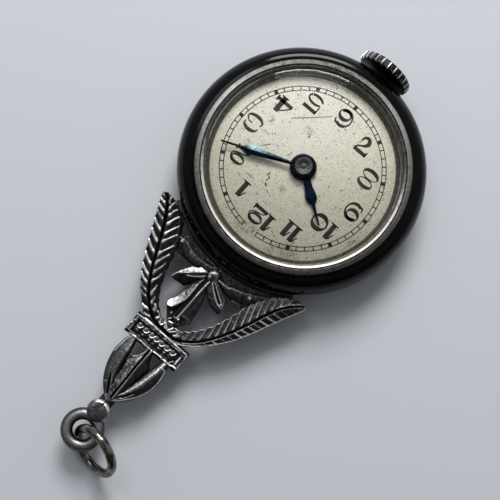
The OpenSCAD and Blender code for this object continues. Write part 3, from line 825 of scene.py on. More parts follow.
# Rim of the ribbon's roll, its lower edge from knot to branch, and the bead at its end
RIBBON_RIM = {
    1: [(0.45, 14.2), (0.9, 14.27), (1.55, 14.42), (2.64, 14.41), (3.27, 14.32), (4.27, 13.92), (4.9, 13.86)],
    -1: [(0.75, 14.85), (2.05, 14.82), (2.3, 14.64), (3.0, 14.4), (3.8, 14.14), (4.4, 13.8)],
}
RIBBON_EDGE = {
    1: [(0.4, 15.3), (1.2, 15.05), (2.0, 15.3), (2.85, 15.42), (4.75, 15.3), (5.6, 14.7), (6.6, 13.2)],
    -1: [(0.4, 15.3), (1.0, 15.2), (2.0, 15.45), (3.0, 15.66), (4.75, 15.6), (5.8, 14.6), (6.6, 13.2),
         (7.9, 11.6)],
}
RIBBON_BEAD = {1: (4.95, 14.27), -1: (4.58, 14.27)}
RIBBON_GAP = [(6.25, 12.35), (5.4, 13.95), (4.65, 13.1)]
# Bow loop: outline, main crest, and the fine line beside it
LOOP_OUTLINE = {
    1: [(0.35, 15.0), (1.45, 14.98), (2.45, 15.6), (2.74, 16.05), (3.18, 16.85), (3.4, 17.72), (3.22, 17.86),
        (1.75, 17.7), (1.32, 17.05), (0.85, 16.05), (0.35, 15.5)],
    -1: [(0.35, 15.0), (1.1, 15.2), (2.1, 15.6), (2.75, 15.95), (3.12, 16.5), (3.16, 17.5), (2.9, 17.74),
         (1.9, 17.6), (0.9, 17.0), (0.35, 16.3)],
}
LOOP_CREST = {
    1: [(0.75, 15.05), (1.64, 15.8), (2.27, 16.4), (2.91, 16.93), (3.2, 17.3), (3.32, 17.72)],
    -1: [(0.5, 15.55), (0.9, 15.92), (1.55, 16.45), (2.27, 16.9), (2.7, 17.02)],
}
LOOP_LINE = {1: [(0.6, 15.5), (1.36, 16.2), (2.1, 16.68)], -1: [(0.73, 15.42), (1.64, 16.0), (2.55, 16.55)]}
LOOP_GROOVE = {
    1: [(0.7, 15.3), (1.45, 15.93), (2.45, 16.68)],
    -1: [(0.6, 15.48), (1.6, 16.22), (2.45, 16.72)],
}
# Bow tail: outline, and the fold between its bright face and the middle
TAIL_OUTLINE = {
    1: [(-0.05, 15.4), (0.4, 15.6), (0.75, 16.4), (1.18, 17.1), (1.45, 18.1), (1.68, 19.2), (1.98, 19.65),
        (2.0, 20.15), (1.55, 20.7), (0.9, 21.45), (0.3, 21.9), (-0.05, 21.9)],
    -1: [(-0.05, 15.4), (0.35, 15.6), (0.5, 16.7), (0.8, 17.4), (1.1, 18.2), (1.24, 19.4), (1.36, 20.2),
         (1.48, 20.35), (0.64, 21.45), (0.3, 21.9), (-0.05, 21.9)],
}
TAIL_FOLD = [(0.52, 15.8), (0.62, 16.9), (0.56, 17.4), (0.6, 18.5), (0.82, 19.3), (1.18, 20.1), (1.55, 20.38)]
# Short crests of the small leaves above the band: points, half width, tone
CURLS = [
    ([(-1.14, 21.7), (-1.1, 22.25), (-0.92, 22.48)], 0.055, 0.9),
    ([(-0.37, 21.92), (-0.2, 22.25), (-0.08, 22.5)], 0.075, 1.0),
    ([(0.47, 22.0), (0.74, 22.06), (0.7, 22.22), (0.88, 22.48)], 0.065, 1.0),
    ([(0.74, 22.06), (1.05, 21.95), (1.12, 21.75)], 0.045, 0.6),
    ([(0.02, 21.53), (0.41, 21.61)], 0.075, 1.1),
    ([(0.5, 21.2), (0.69, 21.45)], 0.05, 0.6),
    ([(1.97, 21.55), (1.63, 21.7), (1.49, 21.98), (1.69, 22.22)], 0.075, 1.05),
    ([(2.66, 21.16), (2.38, 21.48)], 0.085, 1.1),
    ([(-1.95, 21.05), (-1.3, 21.6), (-1.0, 21.67), (-0.6, 21.75)], 0.06, 1.0),
]
# Petals of the calyx. The side petal's crest, fine rim and tip groove are given for each side.
SIDE_PETAL = [
    (2.2, 25.0), (2.72, 25.6), (2.94, 26.9), (2.9, 27.9), (2.55, 29.2), (1.95, 30.4), (1.15, 31.35),
    (0.4, 31.95), (0.05, 32.1), (0.15, 30.9), (0.95, 29.1), (1.28, 27.6), (1.4, 26.8), (1.85, 25.0),
]
PETAL_CREST = {
    1: [(1.95, 25.2), (1.72, 26.4), (1.62, 27.4), (1.42, 28.6), (1.0, 29.9), (0.3, 31.4)],
    -1: [(2.2, 25.3), (2.08, 26.3), (1.88, 27.3), (1.62, 28.4), (1.33, 29.3), (0.98, 30.2), (0.48, 31.1)],
}
PETAL_RIM = {
    1: [(2.52, 25.4), (2.66, 26.0), (2.76, 26.9), (2.78, 27.6)],
    -1: [(2.7, 25.9), (2.85, 26.7), (2.87, 27.7), (2.6, 28.9), (1.98, 30.1), (0.92, 31.35), (0.4, 31.75)],
}
TIP_GROOVE = {1: [(1.5, 29.6), (1.05, 30.5), (0.45, 31.5)], -1: [(1.68, 29.7), (1.1, 30.6), (0.5, 31.2)]}
TIP_LINE = {1: [(1.38, 29.6), (0.82, 30.4), (0.3, 31.15)], -1: [(1.76, 29.8), (1.25, 30.7), (0.5, 31.6)]}
MIDDLE_PETAL = [
    (-0.36, 25.0), (0.3, 25.0), (0.62, 26.35), (1.1, 26.95), (1.22, 27.7), (0.9, 29.4), (0.3, 31.9),
    (-0.3, 31.9), (-0.9, 29.4), (-1.25, 27.7), (-1.42, 26.9), (-0.85, 26.35),
]
KNOT, KNOT_R = (-0.05, 14.95), 0.62
BAND_LEFT, BAND_RIGHT, BAND_LOW, BAND_HIGH = -3.47, 3.5, 22.8, 25.34
# Bright lines of the band's border: points and half width
BAND_LINES = [
    ([(-3.3, 23.1), (-2.3, 23.05), (0.3, 22.98), (2.3, 22.94), (2.7, 23.03), (3.44, 23.14)], 0.065),
    ([(-3.3, 24.95), (-2.9, 24.95), (-2.6, 25.1), (-1.9, 25.05), (-1.6, 25.14), (-1.2, 25.06), (0.5, 25.14),
      (1.4, 25.11), (1.6, 25.16), (2.1, 25.1), (2.8, 25.2)], 0.065),
    ([(-3.42, 23.2), (-3.42, 25.25)], 0.035),
    ([(-3.0, 23.75), (-3.0, 24.65)], 0.05),
    ([(-2.72, 24.48), (-2.4, 24.88)], 0.05),
    ([(3.22, 23.1), (3.22, 23.55)], 0.05),
    ([(3.42, 23.9), (3.46, 25.2)], 0.04),
]
TWIST_PLACES = [-2.15, -1.4, -0.66, 0.06, 0.72, 1.52, 2.36]
TWIST_CRESCENT = [(0.42, 24.02), (0.2, 24.16), (-0.04, 24.13), (-0.2, 23.93), (-0.27, 23.62)]
BALL_Y, BALL_TOP_Z = 33.5, 3.8
LOOP_Y, LOOP_Z = 36.05, 2.7
LOOP_R, LOOP_WIRE = 1.675, 0.65


def bezier(points, count):
    """Points along the cubic curve with these four control points."""
    a, b, c, d = np.array(points)
    t = np.linspace(0, 1, count)[:, None]
    return (1 - t) ** 3 * a + 3 * t * (1 - t) ** 2 * b + 3 * t * t * (1 - t) * c + t ** 3 * d


def crests(ahead, across, places, slant, power, half):
    """Nearness to a leaflet's crest, from 0 to 1, that crest's number and the share to the next."""
    start = ahead - slant * np.maximum(across, 0) ** power
    order = np.interp(start, places, np.arange(len(places)), left=-0.5, right=len(places) - 0.5)
    nearest = np.clip(np.round(order).astype(int), 0, len(places) - 1)
    gap = (start - np.asarray(places)[nearest]) / math.sqrt(1 + slant * slant)
    return bell(gap, half), nearest, order - np.floor(order)


def knobbed(cast, ahead, u):
    """How near each point is to the uneven inner crests of the +X branch, from 0 to 1."""
    near = np.zeros(u.shape)
    for points in INNER_STROKE:
        share, _, off, past = cast.along(ahead, smooth_line(points, 30), 0.5, u)
        width = np.interp(share, [0, 0.12, 0.3, 1], [0.17, 0.15, 0.1, 0.065])
        near = np.maximum(near, bell(np.hypot(off, np.maximum(past, 0)), width))
    return near


def branch(cast, x, side):
    """A leafy branch: thin slanting crests on dark leaflets, on both sides of a sunk midrib.

    The +X branch is bold. The other one has a fine bright rim, and lips along its midrib.
    """
    bold = side > 0
    curve = bezier(BRANCH_CURVE, 200)
    last = curve[-1] - curve[-2]
    beyond = curve[-1] + last / np.linalg.norm(last) * 0.5
    line = np.concatenate([smooth_line(BRANCH_START + [tuple(curve[0])], 24)[:-1], curve, [beyond]])
    _, ahead, left, _ = cast.along(x, line)
    ahead = ahead - START_LENGTH
    places, *columns = np.transpose(BRANCH_WIDTH[side])
    wide_out, wide_in = (np.interp(ahead, places, column, left=-1, right=-1) for column in columns[:2])
    u = left - np.interp(ahead, places, columns[2])
    outer = u > 0
    across = np.abs(u)
    crest_out, crest_in = CREST_SHAPE[side]
    near_out, which_out, part_out = crests(ahead, across - 0.15, OUTER_CREST[side], *crest_out)
    near_in, which_in, part_in = crests(ahead, across, INNER_CREST[side], *crest_in)
    if bold:
        near_in = knobbed(cast, ahead, u)
    part = np.where(outer, part_out, part_in)
    # Each leaflet's tip shows as a wave of the outline, but not on the smooth outer side
    wave = 0.045 * np.cos(2 * math.pi * (part - 0.1)) * (1 if bold else ~outer)
    inside = np.minimum(np.minimum(wide_out - left, wide_in + left) + wave, (places[-1] - ahead) * 0.8)
    shine_in = np.random.default_rng(20 + side).uniform(0.7, 1.1, len(INNER_CREST[side]))
    shine = np.where(outer, np.array(OUTER_SHINE[side])[which_out], shine_in[which_in])
    if bold:
        # The inner crests start with a bright knob and the outer ones brighten outwards
        outwards = 0.75 + 0.3 * step_up(across, 0.3, 0.9)
        shine = shine * np.where(outer, outwards, 1.1 - 0.35 * step_up(across, 0.2, 0.6))
    else:
        shine = shine * np.where(outer, 1.0, 0.85)
    grain = cast.grains(0.17, 30 + side)
    strength = np.where(outer, near_out, near_in) * step_up(across, 0.12, 0.26)
    strength = strength * (0.55 + 0.45 * step_up(inside, 0.0, 0.14))
    height = 3.38 + 0.1 * (1 - np.clip(across / 1.6, 0, 1) ** 2) + 0.1 * part + 0.12 * strength
    height += 0.005 * grain - 0.28 * bell(u, 0.12)
    tone = over(np.where(outer, 0.03, 0.06) + 0.03 * grain, shine, 1.6 * strength)
    tone = np.where(across < 0.12, 0.02, tone)
    if not bold:
        rim_tone = np.where(outer, 0.75, step_up(8.4 - ahead, 0, 0.8))
        rim = bell(inside - 0.07, 0.05) * (rim_tone > 0.05) * step_up(ahead, -1.0, -0.4)
        height += 0.12 * rim
        tone = over(tone, rim_tone, 1.2 * rim)
        lip_tone = np.interp(ahead, [0, 2, 2.3, 7, 11], [1.1, 1.1, 0.7, 0.8, 0.5])
        lip = bell(u - 0.17, 0.05) * step_up(ahead, 0.2, 0.5)
        # Past the last leaflets the midrib's other lip shows as a bright line up to the tip
        other = bell(u + 0.16, 0.06) * step_up(ahead, 10.8, 11.4)
        height += 0.14 * (lip + other)
        tone = over(over(tone, lip_tone, lip), 0.9, other)
    cast.body(inside, height, tone)


def ribbon(cast, x, side):
    """The ribbon's end, a roll with a fine beaded rim that runs along the case, and the plate behind it."""
    turns = np.radians(np.linspace(90, 57 if side > 0 else 55, 12))
    near = [((CLEAR_R - 0.1) * math.cos(a), (CLEAR_R - 0.1) * math.sin(a)) for a in turns]
    inside = cast.polygon(x, near + RIBBON_EDGE[side][::-1])
    if side > 0:
        inside = np.minimum(inside, -cast.polygon(x, RIBBON_GAP))
    grain = cast.grains(0.15, 50 + side)
    # The roll lies to the left of its rim, towards the band
    left = cast.left_of(x, RIBBON_RIM[side])
    down = step_up(left, -0.04, 0.05)
    roll = 3.34 - 0.35 * np.clip(left / 1.1, 0, 1) ** 2
    tone = over(0.13, 0.18 if side > 0 else 0.15, down) + 0.05 * grain
    cast.body(inside, over(3.02, roll, down) + 0.003 * grain, tone)
    beads = 0.09 * cast.grains(0.16, 60 + side)
    cast.line(x, RIBBON_RIM[side], 0.05, 0.16, (0.7 if side > 0 else 1.1) + beads)
    if side > 0:
        cast.line(x, [(0.55, 13.92), (1.1, 13.88), (1.7, 13.92)], 0.05, 0.06, 0.35)
    else:
        cast.line(x, [(3.2, 15.6), (4.35, 15.58)], 0.04, 0.05, 0.4)
    bead_x, bead_y = RIBBON_BEAD[side]
    cast.dot(x, (bead_x, bead_y), 0.13, 0.22, 1.0, 1.4, 20)
    cast.dot(x, (bead_x + 0.3, bead_y + 0.05), 0.12, -0.2, 0.0)


def bow_tail(cast, x, side, grain):
    """A tail of the bow, folded on the +X side."""
    if side > 0:
        left = cast.left_of(x, TAIL_FOLD)
        # The face to the right of the fold, away from the middle, is painted bright and brighter towards the
        # tail's end: a painted highlight
        face = step_up(-left, -0.02, 0.04) * step_up(20.45 - cast.y, 0.0, 0.1)
        height = over(3.66 - 0.75 * np.clip(left, 0, 0.5), 3.74 - 0.36 * np.maximum(-left, 0), face)
        end = step_up(cast.y + 0.5 * x, 18.3, 20.6)
        tone = over(0.1, 0.27 + 0.36 * end + 0.13 * cast.grains(0.13, 75), face)
    else:
        height = 3.52 - 0.3 * x
        tone = 0.12 + 0.04 * grain + 0.1 * bell(x - 0.55, 0.12)
    height = height + 0.002 * grain
    low = step_up(cast.y, 20.35, 20.5)
    cast.body(cast.polygon(x, TAIL_OUTLINE[side]), over(height, 3.28, low), tone * (1 - 0.4 * low))
    if side > 0:
        cast.line(x, TAIL_FOLD, 0.07, 0.1, 1.05)
        cast.dot(x, (1.86, 19.95), 0.14, 0.06, 1.0)
        cast.dot(x, (0.82, 20.75), 0.1, 0.22, 1.1)
    else:
        cast.line(x, [(0.35, 20.22), (0.9, 20.18), (1.38, 20.25)], 0.05, 0.1, 0.35)


def bow(cast, x, side):
    """One tail and one loop of the bow."""
    grain = cast.grains(0.16, 70 + side)
    bow_tail(cast, x, side, grain)
    left = cast.left_of(x, LOOP_CREST[side])
    lump = cast.grains(0.3, 80 + side)
    height = 3.84 - 0.5 * np.maximum(left, 0) - 0.42 * np.maximum(-left, 0) + 0.002 * grain + 0.004 * lump
    if side > 0:
        tone = np.where(left > 0, 0.12, 0.36 + 0.17 * grain)
    else:
        tone = np.where(left > 0, 0.22, 0.16) + 0.05 * grain
    cast.body(cast.polygon(x, LOOP_OUTLINE[side]), np.maximum(height, 2.95), tone)
    shine = 1.1 if side > 0 else 0.8
    cast.line(x, LOOP_GROOVE[side], 0.06, -0.16, 0.0)
    cast.line(x, LOOP_CREST[side], [(0, 0.05), (0.4, 0.09), (1, 0.06)], 0.12, shine)
    cast.line(x, LOOP_LINE[side], 0.05, 0.1, 0.75 * shine)


def knot_and_ridge(cast, x):
    """The ridge between the bow's tails, and the faceted knot."""
    inside = np.minimum(0.42 - np.abs(x - 0.1), np.minimum(cast.y - 15.5, 21.0 - cast.y))
    cast.body(inside, np.full(x.shape, 3.56), 0.08)
    beads = 0.1 * cast.grains(0.14, 91)
    cast.line(x, [(0.24, 15.7), (0.26, 18.0), (0.27, 20.7)], 0.13, -0.14, 0.0)
    cast.line(x, [(-0.16, 15.6), (-0.05, 16.6), (-0.02, 18.5), (0.0, 20.8)], 0.055, 0.1, 1.15 + beads)
    cast.line(x, [(-0.3, 20.8), (0.06, 20.84)], 0.045, 0.05, 0.9)
    d = np.hypot(x - KNOT[0], (cast.y - KNOT[1]) * 0.86)
    dome = 3.55 + 0.5 * np.sqrt(np.maximum(1 - (d / KNOT_R) ** 2, 0))
    above, below = cast.y - 14.85 - 0.6 * x, 14.55 - cast.y + 0.5 * x
    facet = 4.02 - 0.55 * np.maximum(above, 0) - 0.9 * np.maximum(below, 0)
    cast.body(KNOT_R - d, np.minimum(dome, facet), 0.36 + 0.05 * cast.grains(0.2, 92))
    cast.line(x, [(-0.27, 14.43), (0.05, 14.62), (0.36, 14.86)], 0.09, 0.08, 1.05)
    cast.dot(x, (0.16, 15.26), 0.11, 0.12, 0.95)
    cast.line(x, [(-0.2, 14.06), (0.15, 14.02), (0.48, 14.07)], 0.055, 0.3, 0.8)
    cast.line(x, [(0.22, 14.1), (0.2, 14.45)], 0.05, 0.12, 0.6)


def band(cast, x):
    """Band with a double border line and a rope twist in a sunk field."""
    down = np.minimum(cast.y - BAND_LOW, BAND_HIGH - cast.y)
    inside = np.minimum(np.minimum(x - BAND_LEFT, BAND_RIGHT - x), down) + 0.03 * cast.grains(0.5, 95)
    sunk = np.minimum(np.minimum(x + 2.82, 3.02 - x), np.minimum(cast.y - 23.38, 24.92 - cast.y))
    field = step_up(sunk, 0.0, 0.1)
    rough = cast.grains(0.22, 96)
    slope = np.clip(0.3 - down, 0, 0.3)
    tone = np.where(slope > 0.02, 0.08, over(0.16 + 0.05 * rough, 0.05, field))
    cast.body(inside, 3.66 - 0.7 * slope - 0.42 * field + 0.014 * rough, tone)
    for points, half in BAND_LINES:
        cast.line(x, points, half, 0.15, 1.05 if half > 0.06 else 0.75)
    cast.line(x, [(-2.3, 24.86), (2.1, 24.86)], 0.05, 0.06, 0.35)
    for bead in ((3.27, 23.8), (3.3, 24.2), (3.4, 24.62)):
        cast.dot(x, bead, 0.09, 0.16, 0.85)
    for cx in TWIST_PLACES:
        # Each turn of the rope is a low dome with a bright crescent along its lower side
        d = np.hypot((x - cx - 0.1) / 0.38, (cast.y - 23.84) / 0.34)
        dome = 3.36 + 0.12 * np.sqrt(np.maximum(1 - d * d, 0))
        cast.body(np.where(d < 1, 0.3 * (1 - d), OUTSIDE), dome, 0.2)
        crescent = [(cx + dx, y) for dx, y in TWIST_CRESCENT]
        cast.line(x, crescent, [(0, 0.03), (0.45, 0.075), (1, 0.035)], 0.09, 0.92)
        cast.dot(x, (cx + 0.05, 24.52), 0.17, 0.08, 0.14, 1.3)


def calyx(cast, x, side):
    """Side petal: a crest between an outer and an inner face, a fine rim and a groove near the tip."""
    inside = cast.polygon(x, smooth_line(SIDE_PETAL, 110, closed=True))
    share, run, left, _ = cast.along(x, smooth_line(PETAL_CREST[side], 120))
    grain = cast.grains(0.14, 100 + side)
    fine = cast.grains(0.07, 102 + side)
    # The crest runs towards the loop, so its right is the outer face on this side
    outer, inner = np.maximum(-left, 0), np.maximum(left, 0)
    top = np.interp(share, [0, 0.25, 0.6, 1], [3.8, 3.98, 3.86, 3.45])
    if side > 0:
        height = top - 0.1 * outer - 0.26 * outer ** 2 - 0.75 * inner
        tone = np.where(left < 0, 0.24 + 0.02 * fine, 0.12)
        tone = tone - 0.12 * step_up(outer, 1.0, 1.4) * step_up(cast.y, 27.6, 28.4)
    else:
        face = bell(left, np.interp(share, [0, 0.15, 0.55, 1], [0.14, 0.2, 0.26, 0.08]))
        hatch = 0.5 + 0.5 * np.sin(2 * math.pi * run / 0.17 + 1.2 * cast.grains(0.4, 104))
        height = top - 0.42 * outer - 0.55 * inner + face * (0.02 * (hatch - 0.5) + 0.012 * grain)
        tone = 0.16 + 0.03 * fine + face * (0.5 + 0.22 * hatch + 0.1 * grain)
    cast.body(inside, np.maximum(height + 0.006 * fine, 2.9), tone)
    cast.line(x, TIP_GROOVE[side], [(0, 0.04), (0.4, 0.09), (1, 0.06)], -0.2, 0.0)
    cast.line(x, TIP_LINE[side], 0.045, 0.06, 0.5 if side > 0 else 0.62)
    cast.line(x, PETAL_RIM[side], 0.05, 0.09, 0.85 if side > 0 else 0.8)
    if side > 0:
        cast.dot(x, (1.44, 30.6), 0.06, 0.06, 0.7, 1.6)
    else:
        cast.line(x, [(2.6, 25.85), (2.15, 25.88)], 0.06, 0.08, 0.95)


def middle_petal(cast, x):
    """Middle petal: a crest with a deep groove beside it, a grainy face and a dark face."""
    grain = cast.grains(0.13, 110)
    top = np.interp(cast.y, [25, 27, 30, 31.9], [3.78, 4.0, 3.88, 3.52])
    height = top - 0.3 * np.maximum(x - 0.05, 0) - 0.62 * np.maximum(-0.26 - x, 0) + 0.006 * grain * (x > 0)
    tone = np.where(x > 0, 0.26 + 0.09 * grain, 0.16 + 0.04 * cast.grains(0.1, 111))
    cast.body(cast.polygon(x, MIDDLE_PETAL), height, tone)
    cast.line(x, [(0.02, 25.1), (-0.02, 26.9), (-0.06, 29.0), (-0.1, 31.6)], 0.075, -0.3, 0.0)
    cast.line(x, [(-0.26, 25.2), (-0.22, 27.7), (-0.27, 29.4), (-0.3, 31.5)], 0.06, 0.08, 0.52)
    cast.line(x, [(0.16, 25.2), (0.24, 25.8), (0.6, 26.38), (0.95, 26.78)], 0.06, 0.08, 0.6)
    cast.dot(x, (0.92, 26.8), 0.1, 0.14, 0.95, 1.3)
    neck = np.minimum(0.8 - np.abs(x), np.minimum(cast.y - 31.0, 33.4 - cast.y))
    cast.body(neck, 3.3 - 0.5 * (x / 0.8) ** 2, 0.15)


def plate_part():
    """The cast plate: branches, bow, calyx, knot, small leaves and band."""
    cast = Relief(low=(-10.7, 10.6), high=(10.4, 33.6), step=0.045)
    offset = cast.x - ORNAMENT_X
    for side in (1, -1):
        for draw in (ribbon, branch, bow, calyx):
            draw(cast, side * offset, side)
    knot_and_ridge(cast, offset)
    middle_petal(cast, offset)
    for points, half, tone in CURLS:
        cast.line(offset, points, half, 0.16, tone)
    band(cast, offset)
    beside = np.hypot(cast.x, cast.y) - CLEAR_R
    cast.inside = np.minimum(cast.inside, beside)
    cast.tone = cast.tone - 0.25 * (1 - step_up(beside, 0.1, 0.4))
    return cast.solid(edge=0.14, low_z=PLATE_Z, inset=0.14)


def ball_part():
    """Flattened ball between the calyx and the loop."""
    profile = [(0, 1.6), (0.8, 1.6), (1.05, 1.75), (1.2, 2.05), (1.26, 2.4), (1.26, 2.9), (1.23, 3.15),
               (1.17, 3.32), (1.02, 3.66), (0.97, 3.72), (0.91, 3.75), (0.5, BALL_TOP_Z - 0.01),
               (0, BALL_TOP_Z)]
    points, faces = lathe_solid(profile, 64)
    rng = np.random.default_rng(5)
    verts, wear = [], []
    for x, y, z in points:
        r = math.hypot(x, y)
        # The bevel towards the calyx, on the window's side, is painted bright as a painted highlight, and a
        # nick parts it in the middle
        bright = step_up(-y / max(r, 1e-6), 0.35, 0.75) * (3.3 < z < 3.74) * (r > 0.9)
        # A thin painted highlight runs along the -X flank
        flank_highlight = 0.6 * (3.1 < z < 3.3) * (x < 0) * (r > 1.1)
        nick = bell(x + 0.05, 0.1) * (y < 0) * (r > 0.85)
        rough = rng.uniform(-0.012, 0.012) if z > 3.7 else 0
        verts.append((x, y - 0.1 * bright, z - 0.1 * nick + rough))
        wear.append(0.24 + 0.75 * bright + flank_highlight - 0.5 * nick)
    return (*moved((verts, faces), shift=(ORNAMENT_X, BALL_Y, 0)), {"wear": wear})


def loop_part():
    """The fixed loop, its wire painted brighter along the top as a painted highlight."""
    turns = np.linspace(0, 2 * math.pi, 25)[:-1]
    section = [(LOOP_R + LOOP_WIRE * math.cos(a), LOOP_Z + LOOP_WIRE * math.sin(a)) for a in turns]
    verts, faces = lathe(section, 72)
    # Painted highlight: brighter towards the top of the wire
    wear = [0.13 + 0.3 * (max(z - LOOP_Z, 0) / LOOP_WIRE) ** 3 for _, _, z in verts]
    return (*moved((verts, faces), shift=(ORNAMENT_X, LOOP_Y, 0)), {"wear": wear})


def case_ring_part():
    """Silver ring of the case: a wall inside the shells, and the rib between them."""
    low, high, inner, outer = 1.9, 4.25, 11.85, 12.4
    rib_low, rib_high = SEAM_LOW_Z + 0.05, SEAM_HIGH_Z - 0.05
    section = rounded([(inner, low), (outer, low), (outer, rib_low), (RING_R, rib_low), (RING_R, rib_high),
                       (outer, rib_high), (outer, high), (inner, high)], 0.06, 2)
    verts, faces = lathe(section, 180)
    return verts, faces, {"wear": [0.5] * len(verts)}


def solder_part():
    """Seam of solder between the silver ring and the plate, bulging a little."""
    inner, outer, low, high = RING_R - 0.4, CLEAR_R + 0.35, SEAM_LOW_Z + 0.1, SEAM_HIGH_Z - 0.1
    section = rounded([(inner, low), (outer, low), (outer, high), (inner, high)], 0.08, 2)
    verts, faces = tube(swung(section, np.linspace(54, 126, 61)), len(section))
    return verts, faces, {"wear": [0.2] * len(verts)}


# Bezel, dial ring and crown


def make_bezel(material):
    """Bezel with a scratched outer slope, a fine groove and a matt inner slope.

    Painted light and shade: the wear is set by each slope's turn from the window. The outer slope is dulled
    nearest the window and farthest from it and brightened between, and the inner slope is dulled on the
    window's side and bright on the far side, where it faces the window.
    """
    top, r, inner_r = BEZEL_TOP_Z, BEZEL_R, 11.02
    # Distance in from the bezel's edge, depth below its top, wear, and 1 on the inner slope
    rows = [
        (0.0, 0.2, 0.1, 0), (0.015, 0.165, 0.3, 0), (0.05, 0.13, 0.6, 0), (0.12, 0.095, 0.68, 0),
        (0.25, 0.068, 0.66, 0), (0.38, 0.042, 0.66, 0), (0.48, 0.022, 0.68, 0), (0.56, 0.01, 0.6, 0),
        (0.59, 0.03, 0.1, 0), (0.6, 0.16, -1.0, 0), (0.7, 0.16, -1.0, 0), (0.712, 0.02, 0.3, 0),
        (0.73, 0.01, 0.8, 1), (0.78, 0.026, 1.0, 1), (0.9, 0.072, 1.0, 1), (0.99, 0.115, 1.0, 1),
        (1.03, 0.165, 0.8, 1), (1.045, 0.25, 0.4, 0), (1.05, 0.35, 0.3, 0),
    ]
    slope = [(r - away, top - depth) for away, depth, _, _ in rows]
    section = [(inner_r, BEZEL_LOW_Z), (r, BEZEL_LOW_Z), *slope, (inner_r, top - 0.35)]
    # One step for each degree
    steps = 360
    wear, matt = [], []
    for degree in range(steps):
        # Cosine of the turn from the side away from the window
        away = math.cos(math.radians(90 - degree - WINDOW_CLOCK - 180))
        # Painted light and shade: each slope's brightness follows its turn from the window
        inner = 0.3 + 0.7 * step_up(away, -0.3, 0.35)
        outer = np.interp(away, [-1.0, -0.9, -0.55, 0.0, 0.7], [0.35, 0.5, 1.45, 1.0, 0.5])
        wear.extend([0.3, 0.3, *(worn * (inner if within else outer) for _, _, worn, within in rows), 0.3])
        matt.extend([0, 0, *(within for _, _, _, within in rows), 0])
    marks = {"wear": wear, "matt": matt}
    piece = mesh_piece("bezel_worn", *lathe(section, steps), material, "case", "bezel_silver", marks=marks)
    sharpen(piece, 50)
    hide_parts("bezel")


def make_dial_ring(material):
    """Sloping ring round the dial with a small bright step under the crystal."""
    low, high = DIAL_Z + 0.05, RING_TOP_Z
    section = rounded([(9.95, low), (DIAL_R, low), (DIAL_R, high), (10.62, high), (10.56, high - 0.03),
                       (10.5, high - 0.12), (10.36, high - 0.16), (10.28, high - 0.24)], 0.02, 2)
    piece = mesh_piece("dial_ring_stepped", *lathe(section, 240), material, "case", "dial_ring")
    sharpen(piece, 50)
    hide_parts("dial_ring")


def make_crown(material):
    """Ribbed crown with rounded edges, its stem and the groove that the setting lever grips."""
    ribs, first_rib, depth = 24, 11.5, 0.24
    # Distance from the inner face, share of the radius, share of the ribs' height
    profile = [
        (0.0, 0.8, 0), (0.02, 0.88, 0.2), (0.06, 0.93, 0.6), (0.12, 0.965, 0.9), (0.18, 0.985, 1),
        (0.28, 0.997, 1), (0.4, 1.0, 1), (0.6, 1.0, 1), (0.78, 0.995, 1), (0.9, 0.985, 1), (1.0, 0.96, 0.9),
        (1.08, 0.915, 0.6), (1.14, 0.86, 0.2), (1.17, 0.8, 0), (1.19, 0.7, 0), (1.2, 0.5, 0), (1.2, 0.1, 0),
    ]
    long = (CROWN_END_Y - CROWN_IN_Y) / profile[-1][0]
    # Degrees from a rib's middle
    across = [-7.0, -5.8, -5.2, -4.7, -4.2, -3.6, -2.2, -0.6, 1.0, 2.4, 3.2, 3.7, 4.2, 4.7, 5.2, 5.8, 6.5]
    verts, wear = [], []
    for k in range(ribs):
        for u in across:
            a = math.radians(first_rib + k * 360 / ribs + u)
            rib = 1 - step_up(abs(u), 4.2, 5.4)
            # One edge of each rib is painted as a thin bright line, a painted highlight, which turns round
            # the rib's inner end
            line = bell(u - 4.0, 1.4)
            for d, share, cut in profile:
                r = CROWN_R * share - depth * cut * (1 - rib) + 0.03 * line * cut
                verts.append((r * math.cos(a), r * math.sin(a), CROWN_IN_Y + d * long))
                end = 0.55 * bell(d - 0.14 - 0.02 * (4 - u), 0.05) * rib
                wear.append(0.02 + 0.06 * rib + max(1.15 * line * cut * (0.1 < d < 1.1), end))
    n = len(profile)
    faces = skin(len(verts) // n, n, wrap=False)
    faces.append(tuple(range(0, len(verts), n)))
    faces.append(tuple(reversed(range(n - 1, len(verts), n))))
    stem_end, stem_r = CROWN_IN_Y + 0.1, 0.45
    groove_r, groove_low, groove_high = stem_r / 2, 10.1, 10.7
    stem = lathe_solid([(0, 8.9), (0.4, 8.9), (stem_r, 8.95), (stem_r, groove_low), (groove_r, groove_low),
                        (groove_r, groove_high), (stem_r, groove_high), (stem_r, stem_end),
                        (0, stem_end)], 32)
    parts = join_parts([(verts, faces, {"wear": wear}), (*stem, {"wear": [0.3] * len(stem[0])})])
    # The part was made along +Z, and the crown points along -Y
    verts, faces, marks = moved(parts, [(1, 0, 0), (0, 0, -1), (0, 1, 0)], (0, 0, CROWN_Z))
    piece = mesh_piece("crown_ribbed", verts, faces, material, "crown", "crown_steel", marks=marks)
    sharpen(piece, 60)
    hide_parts("crown")


def make_jump_ring(material):
    """Jump ring of slightly flattened wire with a tight cut where its ends meet."""
    ring_r, wire_r, cut = 2.7, 0.49, math.radians(108)
    lean, turn = math.radians(56.8), math.radians(164.3)
    steps, sides = 144, 28
    verts = []
    for k in range(steps):
        a = 2 * math.pi * k / steps
        from_cut = math.atan2(math.sin(a - cut), math.cos(a - cut))
        pinch = 1 - 0.13 * bell(from_cut, 0.035)
        for i in range(sides):
            b = 2 * math.pi * i / sides
            r = wire_r * pinch * (1 - 0.02 * math.cos(2 * b))
            out = ring_r + r * math.cos(b)
            verts.append((out * math.cos(a), out * math.sin(a), r * math.sin(b)))
    spin = Matrix.Rotation(turn, 3, "Z") @ Matrix.Rotation(lean, 3, "X")
    part = moved((verts, skin(steps, sides)), spin, (JUMP_LOW + JUMP_HIGH) / 2)
    piece = mesh_piece("jump_ring_wire", *part, material, "case", "jump_ring_silver")
    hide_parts("jump_ring")


# Hands


